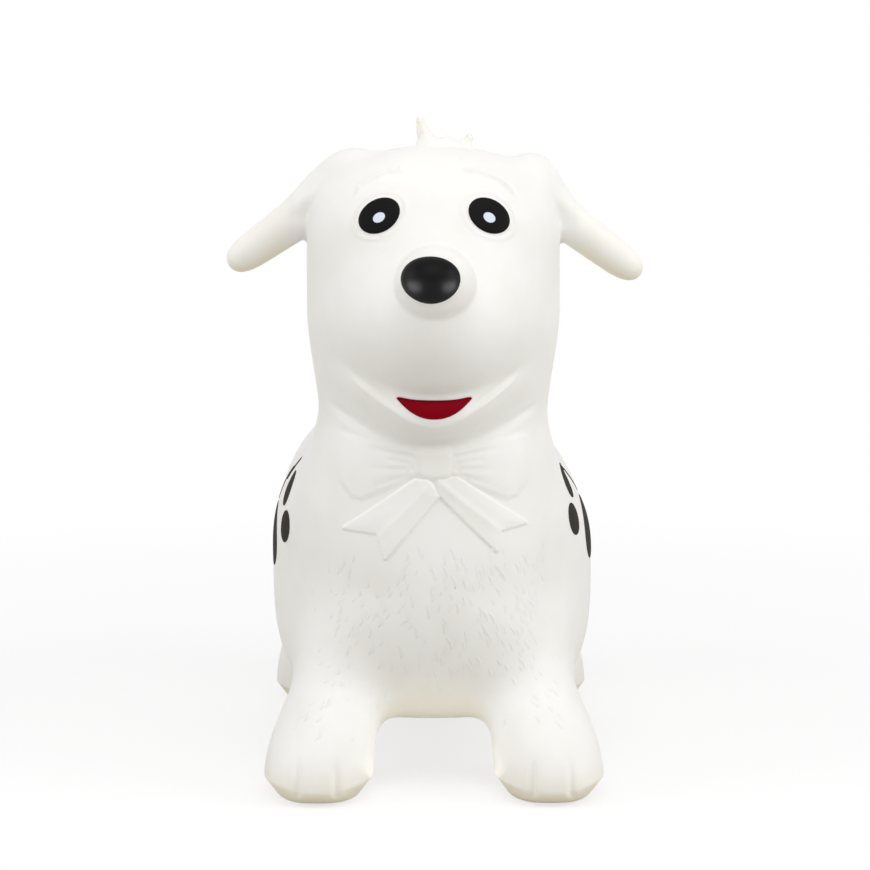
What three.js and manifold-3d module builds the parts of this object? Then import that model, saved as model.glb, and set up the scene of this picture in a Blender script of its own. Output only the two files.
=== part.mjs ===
// Inflatable dog hopper: a hollow moulded PVC dog that a child sits on and bounces along with,
// holding it by the ears. Millimetres, +Z up, floor at Z = 0. The dog faces -Y, so its own left
// side is at +X. The origin is on the floor under the middle of the dog.
import * as THREE from "three";
import { mergeVertices } from "three/addons/utils/BufferGeometryUtils.js";
import Module from "manifold-3d";

const wasm = await Module();
wasm.setup();

// Driving dimensions: skin and clearances
const WALL = 2.5; // moulded skin
const SEAM_GAP = 0.3; // between two regions of the skin, and under a print or relief
const PRINT_THICKNESS = 1; // painted prints
const SLIDE_CLEARANCE = 0.15; // valve plug in its bore, on the radius

// Driving dimensions: trunk
const BODY_LENGTH = 478; // chest to rump
const BODY_WIDTH = 260;
const BODY_DEPTH = 230; // belly to back
const BELLY_HEIGHT = 39; // floor to belly
const CHEST_Y = -222; // front of the chest
const SADDLE_DIP = 7;
const SADDLE_LENGTH = 130;

// Driving dimensions: head and neck
const HEAD_RISE = 209; // crown above the back
const HEAD_WIDTH = 189;
const HEAD_DEPTH = 182;
const HEAD_SETBACK = 82; // middle of the head behind the chest
const CHEEK_DROP = 108; // widest level below the crown
const NECK_WIDTH = 172;
const NECK_DEPTH = 166;
const NECK_SETBACK = 97; // middle of the neck behind the chest
const NECK_DROP = 208; // narrowest level below the crown
const NECK_FLARE = 44; // widening of the neck into the shoulders
const NECK_FLARE_HEIGHT = 52; // from the narrowest level down
const MUZZLE_WIDTH = 128;
const MUZZLE_HEIGHT = 126;
const MUZZLE_DEPTH = 60; // half the muzzle's own length
const MUZZLE_REACH = 36; // beyond the face
const MUZZLE_DROP = 123; // middle of the muzzle below the crown
const SNOUT_WIDTH = 60;
const SNOUT_HEIGHT = 58;
const SNOUT_DEPTH = 24;
const SNOUT_REACH = 5; // beyond the muzzle
const SNOUT_DROP = 102;
const CHIN_WIDTH = 120;
const CHIN_HEIGHT = 34;
const CHIN_DEPTH = 31;
const CHIN_REACH = 11; // beyond the face
const CHIN_DROP = 203;

// Driving dimensions: ears
const EAR_LENGTH = 72; // hinge to tip
const EAR_ROOT_WIDTH = 40;
const EAR_TIP_WIDTH = 31;
const EAR_THICKNESS = 28;
const EAR_DROOP = 35; // degrees below level
const EAR_DROP = 51; // hinge below the crown
const EAR_SETBACK = 8; // hinge behind the middle of the head
const EAR_FLEX = 20; // degrees that an ear bends forwards or backwards
const EAR_FLEX_STEPS = 12; // places over the flex where its room is cut
const EAR_CLEARANCE = 0.7; // between the bending ear and the head
const EAR_BUMP_WIDTH = 40; // swelling of the head over each ear root
const EAR_BUMP_DEPTH = 48;
const EAR_BUMP_HEIGHT = 44;
const EAR_BUMP_INSET = 24; // middle of the swelling inside the head's side
const EAR_BUMP_DROP = 28; // and below the crown

// Driving dimensions: legs and feet
const FOOT_WIDTH = 81;
const FOOT_LENGTH = 108;
const FOOT_HEIGHT = 16; // sole region that stays on the floor
const SOLE_INSET = 13; // flat sole inside the foot's outline
const FRONT_FOOT_INSET = 6; // outer edge inside the trunk's width
const FRONT_FOOT_SETBACK = 27; // middle of the foot behind the chest
const FRONT_LEG_LEAN = 50; // top of the leg behind the foot
const FRONT_LEG_TUCK = 27; // top of the leg inside the foot
const HIND_FOOT_OVERHANG = 3; // outer edge outside the trunk's width
const HIND_FOOT_SETIN = 112; // middle of the foot ahead of the rump
const HIND_LEG_LEAN = 10;
const HIND_LEG_TUCK = 24;
const LEG_RISE = 96; // leg root above the belly, inside the trunk
const FRONT_LEG_TAPER = 13; // narrower than the foot at the leg's root, on each side
const FRONT_LEG_SHORTEN = 22; // shorter than the foot there, at each end
const HIND_LEG_TAPER = 5;
const HIND_LEG_LENGTHEN = 2; // the thigh is longer than the foot

// Driving dimensions: tail and hair
const TAIL_RADIUS = 17;
const TAIL_RISE = 62;
const TAIL_REACH = 22; // beyond the rump
const TAIL_ROOT_HEIGHT = 184; // above the belly
const HAIR_RADIUS = 6; // root of a lock
const HAIR_ROOT_DEPTH = 10; // below the crown
const HAIR_SETFORWARD = 6; // ahead of the middle of the head
const TALL_LOCK_X = -4;
const TALL_LOCK_LEAN = -6; // tip beyond the root, across
const TALL_LOCK_HEIGHT = 22; // above the crown
const SHORT_LOCK_X = 5;
const SHORT_LOCK_LEAN = 3;
const SHORT_LOCK_HEIGHT = 5.5;
const SIDE_LOCK_X = 16;
const SIDE_LOCK_LEAN = 10;
const SIDE_LOCK_HEIGHT = 9;
const HAIR_RIDGE_X = 7;
const HAIR_RIDGE_HALF_LENGTH = 20;

// Driving dimensions: face prints
const NOSE_WIDTH = 44;
const NOSE_HEIGHT = 37;
const NOSE_DEPTH = 18; // half the nose's own length
const NOSE_REACH = 6; // beyond the snout
const NOSE_DROP = 91;
const EYE_LENGTH = 31;
const EYE_WIDTH = 23.5;
const EYE_SPACING = 79;
const EYE_DROP = 49;
const EYE_TILT = 28; // degrees, inner end up
const GLINT_LENGTH = 9;
const GLINT_WIDTH = 7;
const MOUTH_WIDTH = 56;
const MOUTH_HEIGHT = 17;
const MOUTH_DROP = 178;

// Driving dimensions: bow under the chin
const BOW_RELIEF = 3;
const BOW_DROP = 231; // knot below the crown
const KNOT_WIDTH = 31;
const KNOT_HEIGHT = 21;
const LOOP_SPAN = 50; // one loop, beside the knot
const LOOP_HEIGHT = 38;
const RIBBON_END_X = 70;
const RIBBON_DROP = 47; // outer tip of a ribbon end below the knot
const RIBBON_WIDTH = 33;

// Driving dimensions: paw print on each flank
const PAW_PAD_LENGTH = 74;
const PAW_PAD_HEIGHT = 58;
const PAW_TOE_LENGTH = 35;
const PAW_TOE_WIDTH = 24;
const PAW_TOE_SPREAD = 65; // middle of the pad to the middle of a toe
const LEFT_PAW_SETBACK = 152; // middle of the pad behind the chest
const RIGHT_PAW_SETBACK = 190;
const LEFT_PAW_HEIGHT = 130; // middle of the pad above the belly
const RIGHT_PAW_HEIGHT = 124;

// Driving dimensions: air valve in the rump
const VALVE_BORE = 9;
const VALVE_NECK_RADIUS = 10;
const VALVE_FLANGE_RADIUS = 14;
const VALVE_FLANGE_THICKNESS = 3;
const VALVE_FLANGE_CLEARANCE = 3.4; // inside the skin's domed inner face
const PLUG_HEAD_RADIUS = 8;
const PLUG_HEAD_THICKNESS = 2.4;
const PLUG_SHAFT_LENGTH = 15;
const PLUG_RIB_HEIGHT = 0.7;

// Roundness of the forms: exponents of superellipses, where 2 is an ellipse
const CHEST_ROUNDNESS = 2.6;
const RUMP_ROUNDNESS = 4;
const BACK_ROUNDNESS = 7;
const BELLY_ROUNDNESS = 6;
const TRUNK_UPPER_SECTION = 2.1;
const TRUNK_LOWER_SECTION = 3.2;
const CROWN_ROUNDNESS = 5.2;
const HEAD_SECTION = 2.3;
const FOOT_SECTION = 2.4;

// Facets
const TRUNK_RINGS = 16;
const TRUNK_SIDES = 32;
const HEAD_RINGS = 16;
const HEAD_SIDES = 28;
const LEG_SIDES = 20;
const EAR_SIDES = 16;
const EAR_HUB_SIDES = 20;
const HAIR_SIDES = 10;
const VALVE_SIDES = 20;
const BALL_SIDES = 18;
const HOLLOW_DETAIL = 0.6; // share of those for the inner faces

// Levels and places that follow from the driving dimensions
const BACK_HEIGHT = BELLY_HEIGHT + BODY_DEPTH;
const BODY_MIDDLE = BELLY_HEIGHT + BODY_DEPTH / 2;
const RUMP_Y = CHEST_Y + BODY_LENGTH;
const CROWN = BACK_HEIGHT + HEAD_RISE;
const HEAD_Y = CHEST_Y + HEAD_SETBACK;
const FACE_Y = HEAD_Y - HEAD_DEPTH / 2;
const FAR = 2000; // longer than the toy, for half spaces
const X_AXIS = new THREE.Vector3(1, 0, 0);
const Y_AXIS = new THREE.Vector3(0, 1, 0);
const Z_AXIS = new THREE.Vector3(0, 0, 1);

// Materials
const finish = (color, roughness) =>
  new THREE.MeshStandardMaterial({ color, roughness, metalness: 0 });
const WHITE_SKIN = finish(0xf0eee9, 0.5);
const BLACK_PRINT = finish(0x1c1b1a, 0.4);
const GLOSS_BLACK = finish(0x101011, 0.28);
const PALE_PRINT = finish(0xdfe4f2, 0.4);
const RED_PRINT = finish(0x8f0a1c, 0.4);
const PLUG_PLASTIC = finish(0xe6e4de, 0.42);

// A closed geometry as a manifold solid
function solid(geometry) {
  const bare = geometry.clone();
  bare.deleteAttribute("normal");
  bare.deleteAttribute("uv");
  const merged = mergeVertices(bare, 1e-4);
  return new wasm.Manifold(
    new wasm.Mesh({
      numProp: 3,
      vertProperties: new Float32Array(merged.attributes.position.array),
      triVerts: new Uint32Array(merged.index.array),
    }),
  );
}

// The largest body of a cut, without the loose slivers that a cut can leave
function mainBody(manifold) {
  return manifold.decompose().reduce((a, b) => (b.volume() > a.volume() ? b : a));
}

// Signed power, for superellipses
const power = (value, exponent) => Math.sign(value) * Math.abs(value) ** exponent;

// One ring of a loft: a superellipse about a centre, or one point where it has no size
function ring(centre, across, up, halfAcross, halfUp, sides, section = 2) {
  if (halfAcross <= 0 || halfUp <= 0) return [centre.clone()];
  return Array.from({ length: sides }, (_, i) => {
    const angle = (2 * Math.PI * (i + 0.5)) / sides;
    return centre
      .clone()
      .addScaledVector(across, halfAcross * power(Math.cos(angle), 2 / section))
      .addScaledVector(up, halfUp * power(Math.sin(angle), 2 / section));
  });
}

// A closed skin through rings; a ring of one point is a pole, and an end ring is capped flat
function loft(rings) {
  const points = [];
  const starts = rings.map((r) => points.push(...r) - r.length);
  const faces = [];
  for (let i = 0; i + 1 < rings.length; i++) {
    const count = Math.max(rings[i].length, rings[i + 1].length);
    const at = (k, j) => starts[k] + (j % rings[k].length);
    for (let j = 0; j < count; j++) {
      if (rings[i].length > 1) faces.push(at(i, j), at(i, j + 1), at(i + 1, j));
      if (rings[i + 1].length > 1) faces.push(at(i, j + 1), at(i + 1, j + 1), at(i + 1, j));
    }
  }
  const cap = (k, reverse) => {
    const count = rings[k].length;
    if (count === 1) return;
    const middle = rings[k].reduce((sum, p) => sum.add(p), new THREE.Vector3());
    const hub = points.push(middle.divideScalar(count)) - 1;
    for (let j = 0; j < count; j++) {
      const edge = [starts[k] + j, starts[k] + ((j + 1) % count)];
      faces.push(hub, ...(reverse ? edge.reverse() : edge));
    }
  };
  cap(0, true);
  cap(rings.length - 1, false);
  const sixfoldVolume = (k) =>
    points[faces[k]].dot(points[faces[k + 1]].clone().cross(points[faces[k + 2]]));
  let volume = 0;
  for (let k = 0; k < faces.length; k += 3) volume += sixfoldVolume(k);
  return solid(
    new THREE.BufferGeometry()
      .setFromPoints(points)
      .setIndex(volume > 0 ? faces : faces.slice().reverse()),
  );
}

// A share of a facet count, kept even
const facets = (count, detail) => 2 * Math.round((count * detail) / 2);

// An ellipsoid of given half sizes
function ball(centre, halfX, halfY, halfZ, detail = 1) {
  const sides = facets(BALL_SIDES, detail);
  const geometry = new THREE.SphereGeometry(1, sides, facets(BALL_SIDES * 0.7, detail));
  geometry.rotateX(Math.PI / 2);
  geometry.scale(halfX, halfY, halfZ).translate(centre.x, centre.y, centre.z);
  return solid(geometry);
}

// A box between two levels, wide enough to cut anything
function slab(low, high) {
  const geometry = new THREE.BoxGeometry(FAR, FAR, high - low);
  return solid(geometry.translate(0, 0, (low + high) / 2));
}

// A flat outline pushed through the toy from the front, between two depths
function frontPrism(shape, nearY, farY) {
  const geometry = new THREE.ExtrudeGeometry(shape, {
    depth: farY - nearY,
    bevelEnabled: false,
    curveSegments: 6,
  });
  return solid(geometry.rotateX(Math.PI / 2).translate(0, farY, 0));
}

// A flat outline in Y and Z pushed through one flank
function sidePrism(shape, side) {
  const geometry = new THREE.ExtrudeGeometry(shape, {
    depth: BODY_WIDTH,
    bevelEnabled: false,
    curveSegments: 6,
  });
  geometry.applyMatrix4(new THREE.Matrix4().makeBasis(Y_AXIS, Z_AXIS, X_AXIS));
  return solid(geometry.translate(side > 0 ? 0 : -BODY_WIDTH, 0, 0));
}

// A layer that follows a form: the outline's part between two offsets of that form
function layer(prism, form, inner, outer) {
  return mainBody(prism.intersect(form(outer)).subtract(form(inner)));
}

const smooth = (t) => {
  const k = Math.min(Math.max(t, 0), 1);
  return k * k * (3 - 2 * k);
};
const dome = (t, roundness) => Math.sqrt(Math.max(0, 1 - Math.abs(t) ** roundness));

// One upright ring of the trunk, at a share of its half length: each direction across the trunk
// has its own fullness and its own rounding towards the chest or the rump
function trunkRing(share, grow, sides) {
  const middle = (CHEST_Y + RUMP_Y) / 2;
  const y = middle + share * (BODY_LENGTH / 2 + grow);
  if (Math.abs(share) === 1) return [new THREE.Vector3(0, y, BODY_MIDDLE)];
  const dip = SADDLE_DIP * Math.exp(-(((y - middle) / (SADDLE_LENGTH / 2)) ** 2));
  return Array.from({ length: sides }, (_, i) => {
    const angle = (2 * Math.PI * (i + 0.5)) / sides;
    const isUpper = Math.sin(angle) > 0;
    const exponent = 2 / (isUpper ? TRUNK_UPPER_SECTION : TRUNK_LOWER_SECTION);
    const across = power(Math.cos(angle), exponent);
    const up = power(Math.sin(angle), exponent);
    const steepness = up ** 2 / (across ** 2 + up ** 2);
    const sideRoundness = share < 0 ? CHEST_ROUNDNESS : RUMP_ROUNDNESS;
    const uprightRoundness = isUpper ? BACK_ROUNDNESS : BELLY_ROUNDNESS;
    const reach = dome(share, THREE.MathUtils.lerp(sideRoundness, uprightRoundness, steepness));
    const x = across * (reach * (BODY_WIDTH / 2) + grow);
    const z = BODY_MIDDLE + up * (reach * (BODY_DEPTH / 2) + grow) - dip * Math.max(0, up);
    return new THREE.Vector3(x, y, z);
  });
}

// Trunk: rings from the chest to the rump, closer together at the ends
function trunkForm(grow, detail = 1) {
  const last = facets(TRUNK_RINGS, detail);
  const sides = facets(TRUNK_SIDES, detail);
  const shares = Array.from({ length: last - 1 }, (_, i) => -Math.cos((Math.PI * (i + 1)) / last));
  return loft([-1, ...shares, 1].map((share) => trunkRing(share, grow, sides)));
}

// Head and neck: level rings from inside the trunk up to the crown, with muzzle, snout and chin
function headForm(grow, detail = 1) {
  const cheek = CROWN - CHEEK_DROP;
  const neck = CROWN - NECK_DROP;
  const bottom = neck - NECK_FLARE_HEIGHT - 2 * WALL;
  const last = facets(HEAD_RINGS, detail);
  const sides = facets(HEAD_SIDES, detail);
  const { lerp } = THREE.MathUtils;
  const rings = Array.from({ length: last + 1 }, (_, i) => {
    const z = bottom + (CROWN + grow - bottom) * Math.sin(((Math.PI / 2) * i) / last);
    const rise = Math.max(0, (z - cheek) / (CHEEK_DROP + grow));
    const narrowing = smooth((cheek - z) / (cheek - neck));
    const flare = NECK_FLARE * Math.max(0, (neck - z) / NECK_FLARE_HEIGHT) ** 2;
    const width = lerp(HEAD_WIDTH, NECK_WIDTH, narrowing) * dome(rise, CROWN_ROUNDNESS) + flare;
    const depth = lerp(HEAD_DEPTH, NECK_DEPTH, narrowing) * dome(rise, 3) + flare;
    const setback = lerp(HEAD_SETBACK, NECK_SETBACK, narrowing) + flare / 2;
    const centre = new THREE.Vector3(0, CHEST_Y + setback, z);
    const halfWidth = i === last ? 0 : width / 2 + grow;
    return ring(centre, X_AXIS, Y_AXIS, halfWidth, depth / 2 + grow, sides, HEAD_SECTION);
  });
  const onFace = (drop, width, reach, height, depth) =>
    ball(
      new THREE.Vector3(0, FACE_Y - reach + depth, CROWN - drop),
      width / 2 + grow,
      depth + grow,
      height / 2 + grow,
      detail,
    );
  const bumps = [1, -1].map((side) =>
    ball(
      new THREE.Vector3(side * (HEAD_WIDTH / 2 - EAR_BUMP_INSET), HEAD_Y, CROWN - EAR_BUMP_DROP),
      EAR_BUMP_WIDTH / 2 + grow,
      EAR_BUMP_DEPTH / 2 + grow,
      EAR_BUMP_HEIGHT / 2 + grow,
      detail,
    ),
  );
  return [
    onFace(MUZZLE_DROP, MUZZLE_WIDTH, MUZZLE_REACH, MUZZLE_HEIGHT, MUZZLE_DEPTH),
    onFace(SNOUT_DROP, SNOUT_WIDTH, MUZZLE_REACH + SNOUT_REACH, SNOUT_HEIGHT, SNOUT_DEPTH),
    onFace(CHIN_DROP, CHIN_WIDTH, CHIN_REACH, CHIN_HEIGHT, CHIN_DEPTH),
    ...bumps,
  ].reduce((form, lump) => form.add(lump), loft(rings));
}

// One leg with its foot: level rings from the flat sole up to a root inside the trunk
function legForm(leg, grow, bottomGrow, detail = 1) {
  const top = BELLY_HEIGHT + LEG_RISE;
  const levels = [0, 0.06, 0.15, 0.27, 0.42, 0.6, 0.8, 1];
  const rings = levels.map((level) => {
    const z = level === 0 ? -bottomGrow : level * top + (level === 1 ? grow : 0);
    const climb = smooth((level - 0.15) / 0.85);
    const sole = SOLE_INSET * (1 - dome(1 - Math.min(level / 0.15, 1), 2.5));
    const centre = new THREE.Vector3(
      leg.side * (leg.x - leg.tuck * climb),
      leg.y + leg.lean * climb,
      z,
    );
    const halfWidth = FOOT_WIDTH / 2 - sole - leg.taper * climb + grow;
    const halfLength = FOOT_LENGTH / 2 - sole - leg.shorten * climb + grow;
    const sides = facets(LEG_SIDES, detail);
    return ring(centre, X_AXIS, Y_AXIS, halfWidth, halfLength, sides, FOOT_SECTION);
  });
  return loft(rings);
}

// An ear in its hinge frame: along its length, across its broad face, and through its thickness
function earFrame(side) {
  const droop = THREE.MathUtils.degToRad(EAR_DROOP);
  const along = new THREE.Vector3(side * Math.cos(droop), 0, -Math.sin(droop));
  const across = new THREE.Vector3(side * Math.sin(droop), 0, Math.cos(droop));
  const hinge = new THREE.Vector3(side * (HEAD_WIDTH / 2), HEAD_Y + EAR_SETBACK, CROWN - EAR_DROP);
  return { along, across, hinge };
}

function earForm(side, grow, detail = 1) {
  const { along, across, hinge } = earFrame(side);
  const shares = [-0.32, -0.16, 0, 0.2, 0.4, 0.58, 0.74, 0.86, 0.95, 1];
  const rings = shares.map((share) => {
    const rootward = Math.max(0, 1 - share) ** 2;
    const tip = dome(Math.max(share, 0), 7);
    const halfWidth = (EAR_TIP_WIDTH + (EAR_ROOT_WIDTH - EAR_TIP_WIDTH) * rootward) / 2;
    const reach = share === 1 ? share * EAR_LENGTH + grow : share * EAR_LENGTH;
    const centre = hinge.clone().addScaledVector(along, reach);
    const halfAcross = share === 1 ? 0 : halfWidth * tip + grow;
    const sides = facets(EAR_SIDES, detail);
    return ring(centre, across, Y_AXIS, halfAcross, (EAR_THICKNESS / 2) * tip + grow, sides);
  });
  return loft(rings);
}

// The round root that an ear turns on, across its broad face
function earHub(side, grow) {
  const { across, hinge } = earFrame(side);
  const length = EAR_ROOT_WIDTH * 1.5 + 2 * grow;
  const radius = EAR_THICKNESS / 2 + grow;
  const geometry = new THREE.CylinderGeometry(radius, radius, length, EAR_HUB_SIDES);
  geometry.applyQuaternion(new THREE.Quaternion().setFromUnitVectors(Y_AXIS, across));
  return solid(geometry.translate(hinge.x, hinge.y, hinge.z));
}

// Everything on the outer side of an ear's hinge
function outsideHinge(side) {
  const { along, hinge } = earFrame(side);
  const geometry = new THREE.BoxGeometry(FAR, FAR, FAR).translate(FAR / 2, 0, 0);
  geometry.applyQuaternion(new THREE.Quaternion().setFromUnitVectors(X_AXIS, along));
  return solid(geometry.translate(hinge.x, hinge.y, hinge.z));
}

// A form turned about an ear's hinge
function turnedAboutEar(manifold, side, degrees) {
  const { across, hinge } = earFrame(side);
  const turn = new THREE.Matrix4()
    .makeTranslation(hinge)
    .multiply(new THREE.Matrix4().makeRotationAxis(across, THREE.MathUtils.degToRad(degrees)))
    .multiply(new THREE.Matrix4().makeTranslation(hinge.clone().negate()));
  return manifold.transform(turn.elements);
}

// A tapering lock or tail along a curve
function taperedTube(points, radius, sides) {
  const curve = new THREE.CatmullRomCurve3(points);
  const steps = 7;
  const rings = Array.from({ length: steps + 1 }, (_, i) => {
    const t = i / steps;
    const tangent = curve.getTangent(t);
    const across = X_AXIS.clone().addScaledVector(tangent, -tangent.x).normalize();
    const size = i === steps ? 0 : radius * dome(t, 2.2);
    return ring(curve.getPoint(t), across, tangent.clone().cross(across), size, size, sides);
  });
  return loft(rings);
}

// Flat outlines, in millimetres
function ellipseShape(x, z, length, width, degrees) {
  const turn = THREE.MathUtils.degToRad(degrees);
  return new THREE.Shape().absellipse(x, z, length / 2, width / 2, 0, 2 * Math.PI, false, turn);
}

function polygonShape(points) {
  return new THREE.Shape(points.map(([x, z]) => new THREE.Vector2(x, z)));
}

// The smile: a straight upper edge and a deep curved lower one
function mouthShape() {
  const half = MOUTH_WIDTH / 2;
  const top = CROWN - MOUTH_DROP;
  const shape = new THREE.Shape().moveTo(-half, top);
  shape.quadraticCurveTo(0, top - MOUTH_HEIGHT * 0.24, half, top);
  const low = top - MOUTH_HEIGHT * 1.3;
  shape.bezierCurveTo(half * 0.6, low, -half * 0.6, low, -half, top);
  return shape;
}

const KNOT_Z = CROWN - BOW_DROP;

function knotShape() {
  const shape = new THREE.Shape();
  shape.absellipse(0, KNOT_Z, KNOT_WIDTH / 2, KNOT_HEIGHT / 2, 0, 2 * Math.PI);
  return shape;
}

// One loop of the bow: narrow at the knot and full at its outer end
function loopShape(side) {
  const inner = KNOT_WIDTH / 2 + SEAM_GAP;
  const outer = inner + LOOP_SPAN;
  const pinch = KNOT_HEIGHT * 0.36;
  const low = KNOT_Z - LOOP_HEIGHT * 0.58;
  const high = KNOT_Z + LOOP_HEIGHT * 0.42;
  const shape = new THREE.Shape().moveTo(side * inner, KNOT_Z - pinch);
  shape.quadraticCurveTo(side * (inner + LOOP_SPAN * 0.6), low, side * outer, low);
  shape.quadraticCurveTo(side * (outer + 6), KNOT_Z, side * outer, high);
  shape.quadraticCurveTo(side * (inner + LOOP_SPAN * 0.5), high, side * inner, KNOT_Z + pinch);
  return shape;
}

// One ribbon end below the knot, with a notched tip
function ribbonShape(side) {
  const top = KNOT_Z - KNOT_HEIGHT / 2;
  const tip = KNOT_Z - RIBBON_DROP;
  const notchX = RIBBON_END_X - RIBBON_WIDTH * 0.66;
  const lowX = RIBBON_END_X - RIBBON_WIDTH * 0.8;
  return polygonShape(
    [
      [SEAM_GAP, top - KNOT_HEIGHT * 0.42],
      [KNOT_WIDTH * 0.4, top - SEAM_GAP],
      [RIBBON_END_X, tip],
      [notchX, tip - RIBBON_WIDTH * 0.08],
      [lowX, tip - RIBBON_WIDTH * 0.6],
    ].map(([x, z]) => [side * x, z]),
  );
}

// The scene graph: the feet stay on the floor, and the inflated body rides on them
const toy = new THREE.Group();
const feet = new THREE.Group();
const body = new THREE.Group();
toy.add(feet, body);

// Adds a finished solid as a named mesh whose own origin is at a pivot
function addNode(parent, name, manifold, material, pivot = new THREE.Vector3()) {
  const { vertProperties, triVerts } = manifold.getMesh();
  const geometry = new THREE.BufferGeometry()
    .setAttribute("position", new THREE.BufferAttribute(new Float32Array(vertProperties), 3))
    .setIndex(new THREE.BufferAttribute(new Uint32Array(triVerts), 1));
  geometry.translate(-pivot.x, -pivot.y, -pivot.z);
  const mesh = new THREE.Mesh(geometry, material);
  mesh.name = name;
  mesh.position.copy(pivot);
  parent.add(mesh);
}

const SIDES = [
  { name: "left", side: 1, pawSetback: LEFT_PAW_SETBACK, pawHeight: LEFT_PAW_HEIGHT },
  { name: "right", side: -1, pawSetback: RIGHT_PAW_SETBACK, pawHeight: RIGHT_PAW_HEIGHT },
];

// The four legs: where each foot stands and how the leg leans into the trunk
const frontFootX = BODY_WIDTH / 2 - FRONT_FOOT_INSET - FOOT_WIDTH / 2;
const hindFootX = BODY_WIDTH / 2 + HIND_FOOT_OVERHANG - FOOT_WIDTH / 2;
const LEGS = SIDES.flatMap(({ name, side }) => [
  {
    name: `front_${name}`,
    side,
    x: frontFootX,
    y: CHEST_Y + FRONT_FOOT_SETBACK,
    lean: FRONT_LEG_LEAN,
    tuck: FRONT_LEG_TUCK,
    taper: FRONT_LEG_TAPER,
    shorten: FRONT_LEG_SHORTEN,
  },
  {
    name: `hind_${name}`,
    side,
    x: hindFootX,
    y: RUMP_Y - HIND_FOOT_SETIN,
    lean: HIND_LEG_LEAN,
    tuck: HIND_LEG_TUCK,
    taper: HIND_LEG_TAPER,
    shorten: -HIND_LEG_LENGTHEN,
  },
]);

// Tail: a short curved stump on the rump
const tailRootZ = BELLY_HEIGHT + TAIL_ROOT_HEIGHT;
const tailPoints = [
  [RUMP_Y - 2 * TAIL_RADIUS, tailRootZ - TAIL_RISE * 0.16],
  [RUMP_Y - TAIL_RADIUS * 0.3, tailRootZ + TAIL_RISE * 0.1],
  [RUMP_Y + TAIL_REACH * 0.4, tailRootZ + TAIL_RISE * 0.5],
  [RUMP_Y + TAIL_REACH * 0.5, tailRootZ + TAIL_RISE],
].map(([y, z]) => new THREE.Vector3(0, y, z));
const tailForm = taperedTube(tailPoints, TAIL_RADIUS, 16);
const tailHollow = taperedTube(tailPoints, TAIL_RADIUS - WALL, 12).intersect(
  slab(-FAR, tailRootZ + TAIL_RISE - 3 * WALL),
);

// Forms that the pieces are cut from
const trunk = trunkForm(0);
const trunkSeam = trunkForm(SEAM_GAP);
const head = headForm(0);
const headHollow = headForm(-WALL, HOLLOW_DETAIL);
const bodyForm = (grow) => trunkForm(grow).add(headForm(grow));

// Valve: a flanged seat through the middle of the rump and a ribbed plug pushed into it
const valvePlace = new THREE.Vector3(0, RUMP_Y, BODY_MIDDLE);
const boreRadius = VALVE_BORE / 2;
const plugRadius = boreRadius - SLIDE_CLEARANCE;
const seatFace = PLUG_HEAD_THICKNESS / 2;

// A turned piece of the valve: radii, and depths from the rump into the toy
function turned(profile) {
  const points = profile.map(([radius, depth]) => new THREE.Vector2(radius, depth));
  const geometry = new THREE.LatheGeometry(points, VALVE_SIDES).rotateX(Math.PI);
  return solid(geometry.translate(valvePlace.x, valvePlace.y, valvePlace.z));
}

function valveSeat() {
  const flangeLow = WALL + VALVE_FLANGE_CLEARANCE;
  const flangeHigh = flangeLow + VALVE_FLANGE_THICKNESS;
  const counterbore = PLUG_HEAD_RADIUS + SEAM_GAP;
  return turned([
    [boreRadius, seatFace],
    [counterbore, seatFace],
    [counterbore, 0],
    [VALVE_NECK_RADIUS, 0],
    [VALVE_NECK_RADIUS, flangeLow],
    [VALVE_FLANGE_RADIUS, flangeLow],
    [VALVE_FLANGE_RADIUS, flangeHigh],
    [boreRadius, flangeHigh],
    [boreRadius, seatFace],
  ]);
}

function valvePlug() {
  const underHead = seatFace - SEAM_GAP;
  const core = plugRadius - PLUG_RIB_HEIGHT;
  const ribs = [0.3, 0.5, 0.7].flatMap((share) => [
    [core, underHead + PLUG_SHAFT_LENGTH * (share - 0.06)],
    [plugRadius, underHead + PLUG_SHAFT_LENGTH * share],
    [core, underHead + PLUG_SHAFT_LENGTH * (share + 0.06)],
  ]);
  return turned([
    [0, underHead - PLUG_HEAD_THICKNESS],
    [PLUG_HEAD_RADIUS * 0.86, underHead - PLUG_HEAD_THICKNESS],
    [PLUG_HEAD_RADIUS, underHead - PLUG_HEAD_THICKNESS * 0.6],
    [PLUG_HEAD_RADIUS, underHead],
    [plugRadius, underHead],
    [plugRadius, underHead + PLUG_SHAFT_LENGTH * 0.12],
    ...ribs,
    [core, underHead + PLUG_SHAFT_LENGTH * 0.9],
    [core * 0.6, underHead + PLUG_SHAFT_LENGTH],
    [0, underHead + PLUG_SHAFT_LENGTH],
  ]);
}

const valveHole = turned([
  [0, -2 * WALL],
  [VALVE_NECK_RADIUS + SEAM_GAP, -2 * WALL],
  [VALVE_NECK_RADIUS + SEAM_GAP, 4 * WALL],
  [0, 4 * WALL],
]);

// Trunk skin, open inside to the head, the legs and the tail, so that the toy is one air chamber
const legHollows = LEGS.map((leg) => legForm(leg, -WALL, -2 * WALL, HOLLOW_DETAIL));
const trunkSkin = [headHollow, tailHollow, valveHole, ...legHollows].reduce(
  (skin, hollow) => skin.subtract(hollow),
  trunk.subtract(trunkForm(-WALL, HOLLOW_DETAIL)),
);
addNode(body, "trunk", mainBody(trunkSkin), WHITE_SKIN);

// Head skin with a round socket for each ear
const sockets = SIDES.map(({ side }) => earHub(side, SEAM_GAP));
const headSkin = sockets.reduce(
  (skin, socket) => skin.subtract(socket),
  head.subtract(headHollow).subtract(trunkSeam),
);
addNode(body, "head", mainBody(headSkin), WHITE_SKIN);

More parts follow.
